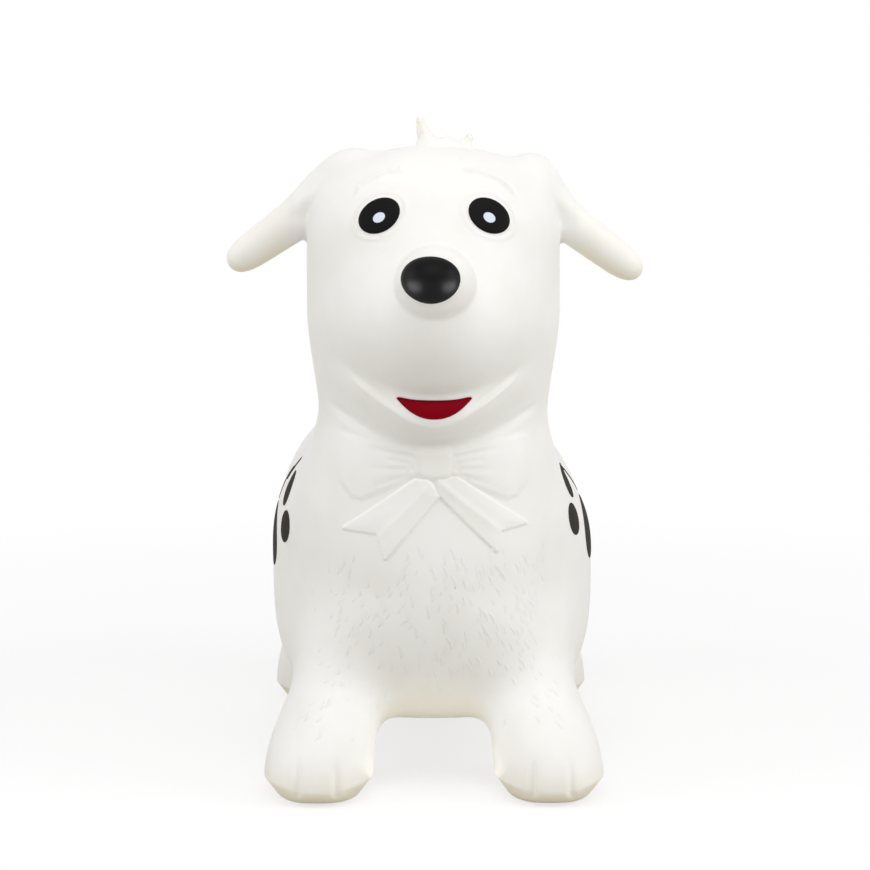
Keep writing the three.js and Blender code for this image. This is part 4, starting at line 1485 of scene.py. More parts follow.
@dataclass
class MouldedSkin:
    """The one-piece inflated skin with its relief, and the two ears that bend from it."""

    form: ToyForm = ToyForm()
    relief: SkinRelief = SkinRelief()
    fineness: Fineness = Fineness()
    cell: float = 7.0
    margin: float = 14.0
    ear_cut: float = 106.0  # from the toy's middle to where an ear starts to bend
    ear_bend: float = 42.0  # width of the bend
    ear_low: float = 330.0  # height below which nothing is an ear
    loop_reach: float = 30.0  # past the cut, within which an edge can cross it
    squash_low: float = 10.0  # heights between which the skin gives when the toy bounces
    squash_high: float = 115.0
    sole_cream: float = 0.35  # shares of the cream tint
    # painted warm shade on the surfaces that face down under the belly
    belly_cream: float = 0.4
    ear_cream: float = 0.12
    # painted warm shade on the undersides of the ears
    ear_under_cream: float = 0.5
    sole_rise: Point2 = (34.0, 2.0)  # where each of them fades in
    belly_rise: Point2 = (120.0, 50.0)
    ear_side: Point2 = (95.0, 120.0)
    facing_down: Point2 = (0.1, 0.9)
    net: TriangleMesh = field(init=False)
    normals: Array = field(init=False)

    def build(self) -> None:
        """Wraps the form in a fine net and raises its relief."""
        low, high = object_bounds()
        low = np.array(low) / MM - self.margin
        high = np.array(high) / MM + self.margin
        self.net = surface_net(self.form.distance, low, high, self.cell)
        directions = self.fineness.refine(self.net, self.form, self.relief.height)
        heights = self.relief.height(self.net.vertices, directions)
        self.net.vertices = self.net.vertices + directions * heights[:, None]
        self.cut_ears()
        self.normals = mesh_normals(self.net)

    def ear_places(self) -> Array:
        """Place of each vertex along an ear past its cut, and -1 off the ears."""
        outward = np.abs(self.net.vertices[:, 0]) - self.ear_cut
        return np.where(self.net.vertices[:, 2] > self.ear_low, outward, -1.0)

    def cut_ears(self) -> None:
        """Puts an edge loop round each ear where it starts to bend."""
        places = self.ear_places()
        edges, _ = self.net.edges()
        first, second = places[edges[:, 0]], places[edges[:, 1]]
        crossing = (first * second < 0.0) & (np.maximum(first, second) < self.loop_reach)
        share = first[crossing] / (first[crossing] - second[crossing])
        start, end = self.net.vertices[edges[crossing, 0]], self.net.vertices[edges[crossing, 1]]
        self.net.split(crossing, start + share[:, None] * (end - start))

    def warmth(self, vertices: Array, normals: Array) -> Array:
        """Share of the cream tint: the soles' edges and the ears, and painted warm shade on the undersides of
        feet, belly and ears.

        Args:
            vertices: Vertices in mm.
            normals: Outward directions there.

        Returns:
            A share for each vertex.
        """
        low = smoothstep(*self.sole_rise, vertices[:, 2])
        under = smoothstep(*self.facing_down, -normals[:, 2])
        belly = smoothstep(*self.belly_rise, vertices[:, 2])
        ears = smoothstep(*self.ear_side, np.abs(vertices[:, 0])) * (vertices[:, 2] > self.ear_low)
        # painted warm shade: cream on the surfaces that face down
        below = under * (self.belly_cream * belly + self.ear_under_cream * ears)
        return np.clip(self.sole_cream * low + below + self.ear_cream * ears, 0.0, 1.0)

    def piece(self, name: str, chosen: Array, material: Material) -> Object:
        """Makes a closed piece of chosen triangles that shades as one with its neighbours.

        Args:
            name: Name of the piece.
            chosen: True for each triangle that belongs to it.
            material: Its finish.

        Returns:
            The piece.
        """
        part, used = self.net.part(chosen)
        normals = self.normals[used]
        warmth = self.warmth(part.vertices, normals)
        before = len(part.vertices)
        part.cap()
        extra = len(part.vertices) - before
        normals = np.vstack([normals, np.tile([0.0, 0.0, 1.0], (extra, 1))])
        warmth = np.concatenate([warmth, np.zeros(extra)])
        obj = make_object(name, part.vertices, part.triangles, material, {"warmth": warmth})
        obj.data.normals_split_custom_set_from_vertices(normals.tolist())
        return obj

    def dress(self, material: Material) -> Object:
        """Makes the skin and the ears and hides the nodes that they replace.

        Args:
            material: Finish of the skin.

        Returns:
            The skin without the ears.
        """
        middles = self.ear_places()[self.net.triangles].mean(axis=1)
        skin = self.piece("moulded_skin", middles < 0.0, material)
        sides = [f"{end}_{side.word}" for end in ("front", "hind") for side in Side]
        legs = [f"{side}_{part}" for side in sides for part in ("leg", "foot")]
        bow = [f"bow_{side.word}_{part}" for side in Side for part in ("loop", "ribbon")]
        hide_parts("trunk", "head", "tail", "bow_knot", *legs, *bow)
        self.give(skin)
        signs = np.sign(self.net.vertices[self.net.triangles, 0].mean(axis=1))
        for side in Side:
            ear = self.piece(f"{side.word}_ear_lobe", (middles > 0.0) & (signs == side.value), material)
            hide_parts(f"{side.word}_ear")
            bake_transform(ear)
        return skin

    def give(self, piece: Object) -> None:
        """Bakes a piece's transform into its mesh.

        Args:
            piece: The piece.
        """
        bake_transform(piece)

    def tree(self) -> BVHTree:
        """Search tree over the skin, in mm."""
        return BVHTree.FromPolygons(self.net.vertices.tolist(), self.net.triangles.tolist())


@dataclass(frozen=True)
class CastPlane:
    """A plane off the skin; outlines drawn on it are cast straight onto the skin."""

    origin: Vector
    right: Vector
    up: Vector

    @classmethod
    def in_front(cls) -> CastPlane:
        """Upright plane before the toy, measured from the toy's middle and the floor."""
        return cls(Vector((0.0, BEFORE_TOY, 0.0)), Vector((1.0, 0.0, 0.0)), Vector((0.0, 0.0, 1.0)))

    @classmethod
    def beside(cls, tree: BVHTree, side: Side, y: float, z: float) -> CastPlane:
        """Plane along the skin of a flank, measured from a place on it.

        Args:
            tree: Search tree over the skin.
            side: Side of the flank.
            y: Place along the toy.
            z: Height of the place.

        Returns:
            The plane.
        """
        start = Vector((side.value * BESIDE_TOY, y, z))
        hit, normal, _, _ = tree.ray_cast(start, Vector((-side.value, 0.0, 0.0)))
        upright = Vector((0.0, 0.0, 1.0))
        up = (upright - upright.dot(normal) * normal).normalized()
        return cls(hit + normal * OFF_FLANK, up.cross(normal), up)

    def cast(self, tree: BVHTree, place: Array) -> Point3:
        """Point of the skin under a place of the plane."""
        start = self.origin + self.right * float(place[0]) + self.up * float(place[1])
        return tuple(tree.ray_cast(start, self.up.cross(self.right))[0])


@dataclass(frozen=True)
class PaintPatch:
    """A thin painted layer with a clean outline, laid on the skin."""

    outline: Outline
    plane: CastPlane
    lift: float = 0.28  # mm above the skin
    crown: float = 0.25  # mm more at the middle
    depth: float = 0.8  # mm into the skin
    rings: int = 12

    def dress(self, node: str, slot: str, tree: BVHTree, form: ToyForm, material: Material) -> None:
        """Casts the outline onto the skin and closes it as a thin shell that stands for a node.

        Args:
            node: Node that the paint replaces.
            slot: Not used.
            tree: Search tree over the skin.
            form: Form of the toy, for its normals.
            material: Finish of the paint.
        """
        count = len(self.outline)
        middle = self.outline.mean(axis=0)
        shares = np.sin(np.linspace(0.0, math.pi / 2.0, self.rings + 1))[1:]
        flat = np.vstack([middle[None, :]] + [middle + share * (self.outline - middle) for share in shares])
        share = np.concatenate([[0.0], np.repeat(shares, count)])
        hits = np.array([self.plane.cast(tree, place) for place in flat])
        normals = surface_normals(form.distance, hits)
        rise = self.lift + self.crown * (1.0 - share**2)
        top = hits + normals * rise[:, None]
        bottom = hits - normals * self.depth
        faces = self.fan(count)
        total = len(flat)
        under = [tuple(index + total for index in reversed(face)) for face in faces]
        rim = 1 + (self.rings - 1) * count
        walls = []
        for i in range(count):
            a, b = rim + i, rim + (i + 1) % count
            walls.append((a, a + total, b + total, b))
        vertices = np.vstack([top, bottom])
        values = {"rim": np.tile(share, 2)}
        paint = make_object(f"{node}_paint", vertices, faces + under + walls, material, values)
        stand_for(paint, "body", node)

    def fan(self, count: int) -> list[tuple[int, ...]]:
        """Faces of the rings about the middle.

        Args:
            count: Points on each ring.

        Returns:
            The faces, by vertex number.
        """
        faces: list[tuple[int, ...]] = [(0, 1 + i, 1 + (i + 1) % count) for i in range(count)]
        for ring in range(self.rings - 1):
            inner, outer = 1 + ring * count, 1 + (ring + 1) * count
            for i in range(count):
                j = (i + 1) % count
                faces.append((inner + i, outer + i, outer + j, inner + j))
        return faces


@dataclass
class PaintedFace:
    """Eyes with their glints, and the mouth."""

    relief: FaceRelief = FaceRelief()
    glint_size: Point2 = (9.2, 6.6)
    glint_drop: float = 1.4
    glint_lift: float = 0.7
    glint_crown: float = 0.1
    glint_points: int = 40
    glint_rings: int = 5
    mouth_lift: float = 0.45

    def dress(self, skin: MouldedSkin, tree: BVHTree, finishes: Finishes) -> None:
        """Paints the face on the skin.

        Args:
            skin: The skin that carries the paint.
            tree: Search tree over the skin.
            finishes: Finishes of the toy.
        """
        black, pale = finishes.eye_black.material(), finishes.glint.material()
        plane = CastPlane.in_front()
        for side in Side:
            x, z = self.relief.eye_centre
            tilt = -side.value * self.relief.eye_tilt
            centre = (side.value * x, z)
            eye = PaintPatch(ellipse(centre, self.relief.eye_size, tilt), plane)
            eye.dress(f"{side.word}_eye", "black_print", tree, skin.form, black)
            centre = (side.value * x, z - self.glint_drop)
            outline = ellipse(centre, self.glint_size, tilt, self.glint_points)
            glint = PaintPatch(outline, plane, self.glint_lift, self.glint_crown, rings=self.glint_rings)
            glint.dress(f"{side.word}_eye_glint", "pale_print", tree, skin.form, pale)
        mouth = PaintPatch(self.relief.mouth_outline(), plane, lift=self.mouth_lift, crown=0.0)
        mouth.dress("mouth", "red_print", tree, skin.form, finishes.mouth_red.material())


@dataclass
class PawPrints:
    """Painted paw print on each flank: a pad and four toes."""

    places: dict[Side, Point2] = field(
        default_factory=lambda: {Side.LEFT: (-70.0, 169.0), Side.RIGHT: (-60.0, 162.0)}
    )
    pad: Point3 = (12.5, 10.5, 12.0)  # place from the print's own, and tilt
    pad_size: Point2 = (66.0, 48.0)
    toes: Path3 = ((-56.0, 26.0, 155.0), (-43.0, 54.0, 120.0), (12.0, 66.0, 88.0), (50.0, 46.0, 54.0))
    toe_size: Point2 = (30.5, 24.0)
    lift: float = 0.4
    rings: int = 16

    def dress(self, skin: MouldedSkin, tree: BVHTree, material: Material) -> None:
        """Paints both prints on the skin.

        Args:
            skin: The skin that carries the paint.
            tree: Search tree over the skin.
            material: Finish of the paint.
        """
        parts = {"pad": (self.pad, self.pad_size)}
        for i, toe in enumerate(self.toes):
            parts[f"toe_{i + 1}"] = (toe, self.toe_size)
        for side, (y, z) in self.places.items():
            for part, ((back, up, tilt), size) in parts.items():
                plane = CastPlane.beside(tree, side, y + back, z + up)
                outline = ellipse((0.0, 0.0), size, side.value * tilt)
                patch = PaintPatch(outline, plane, lift=self.lift, rings=self.rings)
                patch.dress(f"{side.word}_paw_{part}", "black_print", tree, skin.form, material)


@dataclass
class Nose:
    """Satin nose on the end of the snout, with a shallow groove down its lower half."""

    width: float = 44.5
    height: float = 36.6
    depth: float = 18.0  # half its own length
    offset: float = -2.0  # to the dog's right
    drop: float = 2.2
    groove_depth: float = 0.6
    groove_width: float = 4.5
    groove_top: Point2 = (0.0, -0.35)  # shares of the half height where the groove fades in and out
    groove_end: Point2 = (-0.85, -0.5)
    groove_front: Point2 = (0.0, -0.5)
    flat_top: float = 0.04
    cell: float = 1.3
    margin: float = 4.0

    def dress(self, material: Material) -> Object:
        """Builds the nose over its node.

        Args:
            material: Finish of the nose.

        Returns:
            The nose.
        """
        low, high = (np.array(corner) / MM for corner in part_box("nose"))
        centre = np.array([self.offset, low[1] + self.depth, high[2] - self.drop - self.height / 2.0])
        radii = np.array([self.width / 2.0, self.depth, self.height / 2.0])

        def distance(points: Array) -> Array:
            """Distance to the nose, negative inside."""
            local = points - centre
            up = local[:, 2] / radii[2]
            shaped = local.copy()
            shaped[:, 0] = local[:, 0] / (1.0 + self.flat_top * up)
            reach = Ellipsoid((0.0, 0.0, 0.0), tuple(radii)).distance(shaped)
            groove = bell(local[:, 0], self.groove_width) * smoothstep(*self.groove_top, up)
            groove *= smoothstep(*self.groove_end, up)
            return reach + self.groove_depth * groove * smoothstep(*self.groove_front, local[:, 1] / radii[1])

        net = surface_net(distance, centre - radii - self.margin, centre + radii + self.margin, self.cell)
        net.vertices = settle(distance, net.vertices)
        rim = {"rim": np.zeros(len(net.vertices))}
        nose = make_object("nose_boss", net.vertices, net.triangles, material, rim)
        stand_for(nose, "body", "nose")
        return nose


@dataclass
class HairTuft:
    """Three moulded locks on the crown, on a low ridge."""

    middle: Point3 = (9.0, -146.0, 478.0)
    locks: tuple[Path3, ...] = (
        ((-0.5, 474.0, 10.5), (-4.6, 481.0, 6.8), (-7.9, 488.5, 4.3), (-9.6, 496.4, 3.1)),
        ((7.0, 475.5, 6.0), (9.5, 482.0, 2.9)),
        ((16.0, 473.5, 6.0), (22.6, 478.3, 4.0), (26.9, 484.0, 2.8)),
    )
    ridge: Path3 = ((-6.0, 475.5, 6.0), (10.0, 476.5, 6.0), (24.0, 473.5, 5.0))
    fillet: float = 5.0
    sunk: float = 0.7  # below the skin where the tuft ends
    lens: float = 2.4
    half_length: float = 40.0
    half_depth: float = 20.0
    joint: float = 2.0  # rounding between a lock's stretches
    margin: float = 4.0
    below: float = 20.0
    above: float = 26.0
    cell: float = 1.3
    # painted warm shade, rising towards the tips of the locks
    cream: float = 0.25
    cream_rise: Point2 = (478.0, 496.0)

    def dress(self, form: ToyForm, material: Material) -> None:
        """Builds the tuft where it grows out of the crown.

        Args:
            form: Form of the toy.
            material: Finish of the skin.
        """
        middle = np.array(self.middle)

        def distance(points: Array) -> Array:
            """Distance to the tuft, negative inside."""
            crown = form.head.distance(points)
            best = crown + self.sunk
            for chain in (self.ridge, *self.locks):
                path = np.array([(x, middle[1], z) for x, z, _ in chain])
                radii = np.array([radius for _, _, radius in chain])
                best = smooth_union(best, tapered_path(points, path, radii, self.joint), self.fillet)
            across = (points[:, 0] - middle[0]) / self.half_length
            along = (points[:, 1] - middle[1]) / self.half_depth
            around = (np.hypot(across, along) - 1.0) * self.half_depth
            return np.maximum(np.maximum(best, -(crown + self.lens)), around)

        reach = np.array([self.half_length + self.margin, self.half_depth + self.margin, 0.0])
        low = middle - reach - np.array([0.0, 0.0, self.below])
        high = middle + reach + np.array([0.0, 0.0, self.above])
        net = surface_net(distance, low, high, self.cell)
        net.vertices = settle(distance, net.vertices, reach=1.0)
        # painted warm shade on the upper locks
        warmth = self.cream * smoothstep(*self.cream_rise, net.vertices[:, 2])
        tuft = make_object("hair_locks", net.vertices, net.triangles, material, {"warmth": warmth})
        stand_for(tuft, "body", "hair_tuft")


@dataclass
class AirValve:
    """Valve seat in the rump and the ribbed plug pushed into it."""

    centre: Point3 = VALVE_CENTRE
    bore: float = 4.5
    neck: float = 9.4
    seat_face: float = 1.2
    seat_depth: float = 8.9
    plug_head: float = 8.0
    plug_thickness: float = 2.4
    plug_shaft: float = 15.0
    plug_radius: float = 4.35
    rib_height: float = 0.7
    rib_places: Point3 = (0.3, 0.5, 0.7)  # shares of the shaft
    rib_rise: float = 1.0
    rib_fall: float = 0.8
    collar: float = 1.8
    tip_start: float = 0.9
    tip_size: float = 0.6
    dimple: float = 2.2
    dimple_rim: float = 2.8
    dimple_depth: float = 0.5
    head_edge: float = 1.0
    head_corner: float = 0.3
    lip: float = 0.5
    cream: float = 0.1
    gap: float = 0.3
    sides: int = 64

    def turned(self, profile: list[Point2], closed: bool) -> tuple[Array, list]:
        """Turns a profile of radii and depths about the valve's axis.

        Args:
            profile: Points from the outside in.
            closed: Whether the profile is a loop; otherwise it starts and ends on the axis.

        Returns:
            Vertices and faces, pointing outwards.
        """
        turn = np.linspace(0.0, 2.0 * math.pi, self.sides, endpoint=False)
        vertices, rows = [], []
        for radius, depth in profile:
            start = len(vertices)
            count = 1 if radius == 0.0 else self.sides
            for angle in turn[:count]:
                x = self.centre[0] + radius * math.cos(angle)
                z = self.centre[2] + radius * math.sin(angle)
                vertices.append((x, self.centre[1] - depth, z))
            rows.append(range(start, start + count))
        faces = []
        following = rows[1:] + (rows[:1] if closed else [])
        for first, second in zip(rows, following):
            for i in range(self.sides):
                j = (i + 1) % self.sides
                a, b = first[i % len(first)], first[j % len(first)]
                c, d = second[j % len(second)], second[i % len(second)]
                faces.append(tuple(dict.fromkeys((a, b, c, d))))
        return np.array(vertices), faces

    def dress(self, skin_material: Material, plug_material: Material) -> None:
        """Builds the seat and the plug.

        Args:
            skin_material: Finish of the seat.
            plug_material: Finish of the plug.
        """
        counterbore = self.plug_head + self.gap
        lip = self.lip
        seat = [
            (self.bore, self.seat_face + lip), (self.bore + lip, self.seat_face),
            (counterbore, self.seat_face), (counterbore, -lip), (counterbore + lip, -2.0 * lip),
            (self.neck + 2.0 * lip, -2.0 * lip), (self.neck + 3.0 * lip, 0.0),
            (self.neck, self.seat_face), (self.neck, self.seat_depth), (self.bore, self.seat_depth),
        ]
        vertices, faces = self.turned(seat, closed=True)
        warmth = {"warmth": np.full(len(vertices), self.cream)}
        ring = make_object("valve_seat_ring", vertices, faces, skin_material, warmth)
        stand_for(ring, "body", "valve_seat")
        under = self.seat_face - self.gap
        core = self.plug_radius - self.rib_height
        top = under - self.plug_thickness
        profile = [
            (0.0, top + self.dimple_depth), (self.dimple, top + self.dimple_depth), (self.dimple_rim, top),
            (self.plug_head - self.head_edge, top),
            (self.plug_head - self.head_corner, top + self.head_corner),
            (self.plug_head, top + self.head_edge), (self.plug_head, under),
            (self.plug_radius, under), (self.plug_radius, under + self.collar),
        ]
        for share in self.rib_places:
            place = under + self.plug_shaft * share
            rib = [(core, place - self.rib_rise), (self.plug_radius, place), (core, place + self.rib_fall)]
            profile += rib
        end = under + self.plug_shaft
        profile += [(core, under + self.plug_shaft * self.tip_start), (core * self.tip_size, end), (0.0, end)]
        vertices, faces = self.turned(profile, closed=False)
        rim = {"rim": np.zeros(len(vertices))}
        plug = make_object("valve_plug_body", vertices, faces, plug_material, rim)
        stand_for(plug, "valve_plug", "valve_plug")


@dataclass
class FurStrokes:
    """Short moulded strokes combed down the chest and the front of the legs, scattered by rule."""

    seed: int = 7
    density: float = 19000.0  # most strokes in a square metre
    spacing: float = 4.0  # least distance between two strokes
    sizes: Point2 = (0.6, 1.15)  # smallest and largest, as shares of the full size
    length: float = 12.0
    width: float = 3.6
    height: float = 1.0
    sunk: float = 0.3  # of the stroke's middle below the skin, so that its rim is soft
    bow: float = 2.2
    lean: float = 0.3  # radians either way
    spread: float = 6.0  # how far the combing turns outwards for each metre from the middle
    segments: int = 8
    sections: tuple[float, ...] = (-1.0, -0.6, -0.1, 0.45, 0.8, 1.0)  # places along a stroke
    slimness: float = 1.6
    front_until: float = -120.0
    facing: Point2 = (0.35, 0.6)  # such pairs say where the strokes fade in or out
    chest_low: Point2 = (76.0, 100.0)
    chest_high: Point2 = (192.0, 166.0)
    chest_side: Point2 = (96.0, 66.0)
    halves: Point2 = (-50.0, 50.0)
    right_share: float = 0.7  # on the dog's right half of the chest
    leg_low: Point2 = (40.0, 58.0)
    leg_high: Point2 = (112.0, 92.0)
    leg_inner: Point2 = (22.0, 38.0)
    leg_share: float = 0.35

    @property
    def settings(self) -> dict[str, float]:
        """Values of the scatter tree's inputs, by name, with the spacing in metres."""
        sizes = {"Spacing": self.spacing * MM, "Smallest": self.sizes[0], "Largest": self.sizes[1]}
        return sizes | {"Density": self.density, "Lean": self.lean, "Seed": self.seed}

    def share(self, vertices: Array, normals: Array) -> Array:
        """Where the strokes are, from 0 for none to 1 for close together.

        Args:
            vertices: Vertices in mm.
            normals: Outward directions there.

        Returns:
            A share for each vertex.
        """
        x, z = vertices[:, 0], vertices[:, 2]
        across = np.abs(x)
        front = smoothstep(*self.facing, -normals[:, 1])
        chest = smoothstep(*self.chest_low, z) * smoothstep(*self.chest_high, z)
        chest *= smoothstep(*self.chest_side, across)
        chest *= mix(self.right_share, 1.0, smoothstep(*self.halves, x))
        legs = smoothstep(*self.leg_low, z) * smoothstep(*self.leg_high, z)
        legs *= smoothstep(*self.leg_inner, across)
        return front * np.maximum(chest, self.leg_share * legs) * (vertices[:, 1] < self.front_until)

    def stroke(self) -> Object:
        """One stroke: a slim lens, sharp at its lower end, lying along Y.

        Returns:
            The stroke, which isn't in the scene.
        """
        turn = np.linspace(0.0, 2.0 * math.pi, self.segments, endpoint=False)
        vertices, faces = [], []
        for share in self.sections:
            size = math.sqrt(max(0.0, 1.0 - abs(share) ** self.slimness))
            count = 1 if size == 0.0 else self.segments
            for angle in turn[:count]:
                x = math.cos(angle) * self.width / 2.0 * size + self.bow * (1.0 - share**2)
                z = math.sin(angle) * self.height / 2.0 * size - self.sunk
                vertices.append((x, share * self.length / 2.0, z))
        last = len(vertices) - 1
        rows = len(self.sections) - 2
        for i in range(self.segments):
            j = (i + 1) % self.segments
            faces.append((0, 1 + i, 1 + j))
            for row in range(rows - 1):
                a, b = 1 + row * self.segments, 1 + (row + 1) * self.segments
                faces.append((a + i, b + i, b + j, a + j))
            end = 1 + (rows - 1) * self.segments
            faces.append((end + i, last, end + j))
        mesh = bpy.data.meshes.new("fur_stroke")
        mesh.from_pydata([tuple(c * MM for c in v) for v in vertices], [], faces)
        mesh.polygons.foreach_set("use_smooth", np.ones(len(mesh.polygons), dtype=bool))
        return bpy.data.objects.new("fur_stroke", mesh)

    def scatter_tree(self, stroke: Object, material: Material) -> GeometryNodeTree:
        """Geometry Nodes that scatter the stroke over a surface and comb it downwards.

        Args:
            stroke: The stroke that is repeated.
            material: Finish of the strokes.

        Returns:
            The tree, with an input for each of the settings.
        """
        tree = bpy.data.node_groups.new("combed_strokes", "GeometryNodeTree")
        tree.interface.new_socket("Surface", in_out="INPUT", socket_type="NodeSocketGeometry")
        for name, value in self.settings.items():
            kind = "NodeSocketInt" if isinstance(value, int) else "NodeSocketFloat"
            tree.interface.new_socket(name, in_out="INPUT", socket_type=kind)
        tree.interface.new_socket("Strokes", in_out="OUTPUT", socket_type="NodeSocketGeometry")
        inputs = add_node(tree, "NodeGroupInput").outputs
        seed = inputs["Seed"]
        share = add_node(tree, "GeometryNodeInputNamedAttribute", {"Name": "fur"}, data_type="FLOAT")
        surface = {
            "Mesh": inputs["Surface"],
            "Distance Min": inputs["Spacing"],
            "Density Max": inputs["Density"],
            "Density Factor": share.outputs["Attribute"],
            "Seed": seed,
        }
        scatter = "GeometryNodeDistributePointsOnFaces"
        points = add_node(tree, scatter, links=surface, distribute_method="POISSON").outputs
        place = add_node(tree, "GeometryNodeInputPosition").outputs["Position"]
        outwards = {1: (-self.spread, 0.0, 0.0), 2: (0.0, 0.0, 1.0)}
        upwards = add_node(tree, "ShaderNodeVectorMath", outwards, {0: place}, operation="MULTIPLY_ADD")
        facing = {"Rotation": points["Rotation"], "Vector": upwards.outputs["Vector"]}
        comb = add_node(tree, "FunctionNodeAlignRotationToVector", links=facing, axis="Y", pivot_axis="Z")
        lowest = add_node(tree, "ShaderNodeMath", {1: -1.0}, {0: inputs["Lean"]}, operation="MULTIPLY")
        ends = {2: lowest.outputs[0], 3: inputs["Lean"], "Seed": seed}
        turn = add_node(tree, "FunctionNodeRandomValue", links=ends, data_type="FLOAT")
        axis = {"Axis": (0.0, 0.0, 1.0)}
        spin = add_node(tree, "FunctionNodeAxisAngleToRotation", axis, {"Angle": turn.outputs[1]})
        turned = {"Rotation": comb.outputs["Rotation"], "Rotate By": spin.outputs["Rotation"]}
        rotation = add_node(tree, "FunctionNodeRotateRotation", links=turned, rotation_space="LOCAL")
        ends = {2: inputs["Smallest"], 3: inputs["Largest"], "Seed": seed}
        size = add_node(tree, "FunctionNodeRandomValue", links=ends, data_type="FLOAT")
        shape = add_node(tree, "GeometryNodeObjectInfo", {"Object": stroke})
        copied = {
            "Points": points["Points"],
            "Instance": shape.outputs["Geometry"],
            "Rotation": rotation.outputs["Rotation"],
            "Scale": size.outputs[1],
        }
        copies = add_node(tree, "GeometryNodeInstanceOnPoints", links=copied).outputs["Instances"]
        real = add_node(tree, "GeometryNodeRealizeInstances", links={"Geometry": copies}).outputs["Geometry"]
        dressed = add_node(tree, "GeometryNodeSetMaterial", {"Material": material}, {"Geometry": real})
        add_node(tree, "NodeGroupOutput", links={"Strokes": dressed.outputs["Geometry"]})
        return tree

    def dress(self, skin: MouldedSkin, material: Material) -> None:
        """Scatters the strokes over the front of the skin.

        Args:
            skin: The skin that carries them.
            material: Finish of the skin.
        """
        share = self.share(skin.net.vertices, skin.normals)
        chosen = (share[skin.net.triangles] > 0.0).any(axis=1)
        patch, used = skin.net.part(chosen)
        carrier = make_object("fur_carrier", patch.vertices, patch.triangles, material, {"fur": share[used]})
        stroke = self.stroke()
        tree = self.scatter_tree(stroke, material)
        modifier = carrier.modifiers.new("combed_strokes", "NODES")
        modifier.node_group = tree
        for item in tree.interface.items_tree:
            if item.name in self.settings:
                modifier[item.identifier] = self.settings[item.name]
        view = bpy.context.evaluated_depsgraph_get()
        mesh = bpy.data.meshes.new_from_object(carrier.evaluated_get(view), depsgraph=view)
        mesh.name = "fur_strokes"
        bpy.data.objects.remove(carrier)
        bpy.data.objects.remove(stroke)
        strokes = bpy.data.objects.new("fur_strokes", mesh)
        bpy.context.scene.collection.objects.link(strokes)
        LOG.info("fur_strokes: %d faces", len(mesh.polygons))
        skin.give(strokes)


# Studio


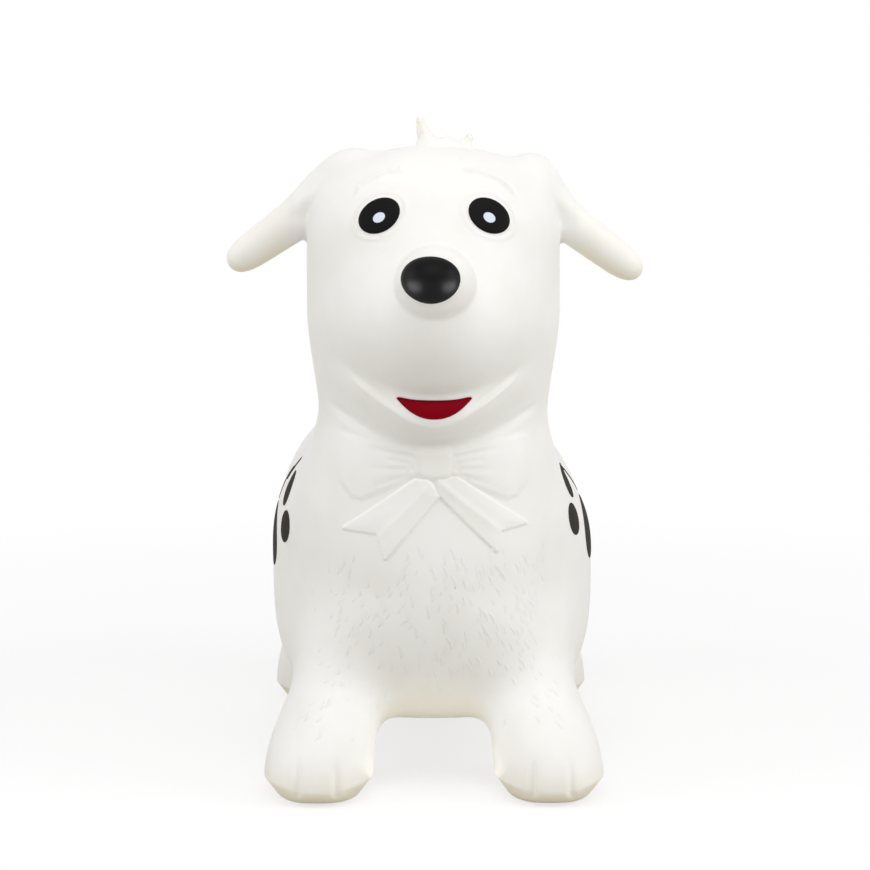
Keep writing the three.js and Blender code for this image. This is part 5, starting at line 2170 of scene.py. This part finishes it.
@dataclass
class Studio:
    """White studio: pale floor, soft lamps and the camera at the picture's viewing angle."""

    picture: float = 870.0  # pixels each way
    focal_pixels: float = 2752.4
    sensor: float = 36.0  # mm
    distance: float = 2200.0  # mm
    height: float = 507.4  # mm
    pitch: float = 6.82  # degrees downwards
    azimuth: float = -0.5  # degrees
    shift_x: float = 2.5  # mm
    floor_half: float = 6.0  # m
    world_level: float = 0.455
    floor_bounce: str = "#D2D0CA"
    floor_glow: float = 0.72
    floor_fade: Point2 = (0.42, 1.2)  # metres from the toy's middle where the floor turns white
    lamps: tuple[Lamp, ...] = (
        ("overhead_softbox", (0.0, 0.2, 2.6), (0.0, 0.0, 0.2), 2.0, 2.0),
        ("front_softbox", (0.1, -1.6, 2.3), (0.0, -0.1, 0.25), 1.9, 24.0),
        ("left_softbox", (-2.2, -0.7, 1.3), (0.0, 0.0, 0.25), 1.4, 17.0),
        ("right_softbox", (2.2, -0.9, 1.3), (0.0, 0.0, 0.25), 1.4, 22.0),
        ("belly_card", (0.0, -0.195, 0.004), (0.0, -0.15, 0.1), 0.09, 0.018),
    )
    sheen_cards: tuple[Lamp, ...] = (
        ("left_sheen_card", (-0.46, -0.5, 0.1), (0.0, -0.27, 0.37), 0.5, 15.0),
        ("right_sheen_card", (0.46, -0.5, 0.1), (0.0, -0.27, 0.37), 0.5, 15.0),
    )

    def build(self, nose: Object) -> None:
        """Builds the floor, the light and the camera.

        Args:
            nose: The piece that the sheen cards light.
        """
        self.build_floor()
        self.build_light(nose)
        self.build_camera()
        bpy.context.scene.view_settings.view_transform = "Standard"

    def seen_share(self, tree: NodeTree) -> NodeSocket:
        """Socket that is 1 for rays that show the background: camera, glossy and transmission.

        Args:
            tree: Tree of the floor or the room.

        Returns:
            The socket.
        """
        path = add_node(tree, "ShaderNodeLightPath").outputs
        seen = path["Is Camera Ray"]
        for kind in ("Is Glossy Ray", "Is Transmission Ray"):
            either = add_node(tree, "ShaderNodeMath", links={0: seen, 1: path[kind]}, operation="MAXIMUM")
            seen = either.outputs[0]
        return seen

    def build_floor(self) -> None:
        """Builds the pale floor, white away from the toy and shaded under it."""
        # Matt white paper, which goes over into the white of the room without an edge
        material, tree = new_material("white_paper_floor")
        place = add_node(tree, "ShaderNodeTexCoord").outputs["Object"]
        away = add_node(tree, "ShaderNodeVectorMath", links={0: place}, operation="LENGTH").outputs["Value"]
        near, far = self.floor_fade
        ends = {"From Min": near, "From Max": far, "To Min": self.floor_glow, "To Max": 1.0}
        glow = add_node(tree, "ShaderNodeMapRange", ends, {"Value": away}).outputs["Result"]
        white = {"Color": linear("#FFFFFF")}
        paper = add_node(tree, "ShaderNodeBsdfDiffuse", white).outputs["BSDF"]
        light = add_node(tree, "ShaderNodeEmission", white | {"Strength": 1.0}).outputs["Emission"]
        bounce = add_node(tree, "ShaderNodeBsdfDiffuse", {"Color": linear(self.floor_bounce)}).outputs["BSDF"]
        seen = add_node(tree, "ShaderNodeMixShader", links={0: glow, 1: paper, 2: light}).outputs["Shader"]
        parts = {0: self.seen_share(tree), 1: bounce, 2: seen}
        surface = add_node(tree, "ShaderNodeMixShader", links=parts).outputs["Shader"]
        add_node(tree, "ShaderNodeOutputMaterial", links={"Surface": surface})
        half = self.floor_half / MM
        corners = np.array([(-half, -half, 0.0), (half, -half, 0.0), (half, half, 0.0), (-half, half, 0.0)])
        floor = make_object("floor", corners, [(0, 1, 2, 3)], material)
        floor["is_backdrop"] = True

    def build_light(self, nose: Object) -> None:
        """Builds the even room light and the soft lamps.

        Args:
            nose: The piece that the sheen cards light.
        """
        world = bpy.data.worlds.new("white_room")
        world.use_nodes = True
        tree = world.node_tree
        tree.nodes.clear()
        white = {"Color": linear("#FFFFFF")}
        room = add_node(tree, "ShaderNodeBackground", white | {"Strength": self.world_level}).outputs[0]
        seen = add_node(tree, "ShaderNodeBackground", white | {"Strength": 1.0}).outputs[0]
        parts = {0: self.seen_share(tree), 1: room, 2: seen}
        surface = add_node(tree, "ShaderNodeMixShader", links=parts).outputs["Shader"]
        add_node(tree, "ShaderNodeOutputWorld", links={"Surface": surface})
        bpy.context.scene.world = world
        for lamp in self.lamps:
            self.build_lamp(*lamp)
        lit = bpy.data.collections.new("sheen_on_the_nose")
        lit.objects.link(nose)
        for lamp in self.sheen_cards:
            self.build_lamp(*lamp).light_linking.receiver_collection = lit

    def build_lamp(self, name: str, place: Point3, aim: Point3, size: float, power: float) -> Object:
        """Builds one square soft lamp that the camera doesn't see.

        Args:
            name: Name of the lamp.
            place: Where it stands, in metres.
            aim: Where it points.
            size: Its edge, in metres.
            power: Its power, in watts.

        Returns:
            The lamp.
        """
        lamp = bpy.data.lights.new(name, "AREA")
        lamp.shape = "SQUARE"
        lamp.size = size
        lamp.energy = power
        holder = bpy.data.objects.new(name, lamp)
        holder.visible_camera = False
        holder.location = place
        holder.rotation_euler = (Vector(aim) - Vector(place)).to_track_quat("-Z", "Y").to_euler()
        bpy.context.scene.collection.objects.link(holder)
        return holder

    def build_camera(self) -> None:
        """Builds the camera."""
        camera = bpy.data.cameras.new("picture_camera")
        camera.sensor_width = self.sensor
        camera.lens = self.focal_pixels * self.sensor / self.picture
        holder = bpy.data.objects.new("picture_camera", camera)
        turn = math.radians(self.azimuth)
        away = self.distance * MM
        side = self.shift_x * MM
        holder.location = (
            away * math.sin(turn) + side * math.cos(turn),
            -away * math.cos(turn) + side * math.sin(turn),
            self.height * MM,
        )
        holder.rotation_euler = (math.radians(90.0 - self.pitch), 0.0, turn)
        bpy.context.scene.collection.objects.link(holder)
        bpy.context.scene.camera = holder


def main() -> None:
    """Builds the toy's pieces in order, then the studio."""
    logging.basicConfig(level=logging.INFO, format="%(name)s %(message)s")
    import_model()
    finishes = Finishes()
    vinyl = finishes.skin.material()
    skin = MouldedSkin()
    skin.build()
    skin.dress(vinyl)
    tree = skin.tree()
    PaintedFace().dress(skin, tree, finishes)
    PawPrints().dress(skin, tree, finishes.print_black.material())
    nose = Nose().dress(finishes.nose_black.material())
    HairTuft().dress(skin.form, vinyl)
    AirValve().dress(vinyl, finishes.plug_white.material())
    FurStrokes().dress(skin, vinyl)
    Studio().build(nose)


if __name__ == "__main__":
    main()
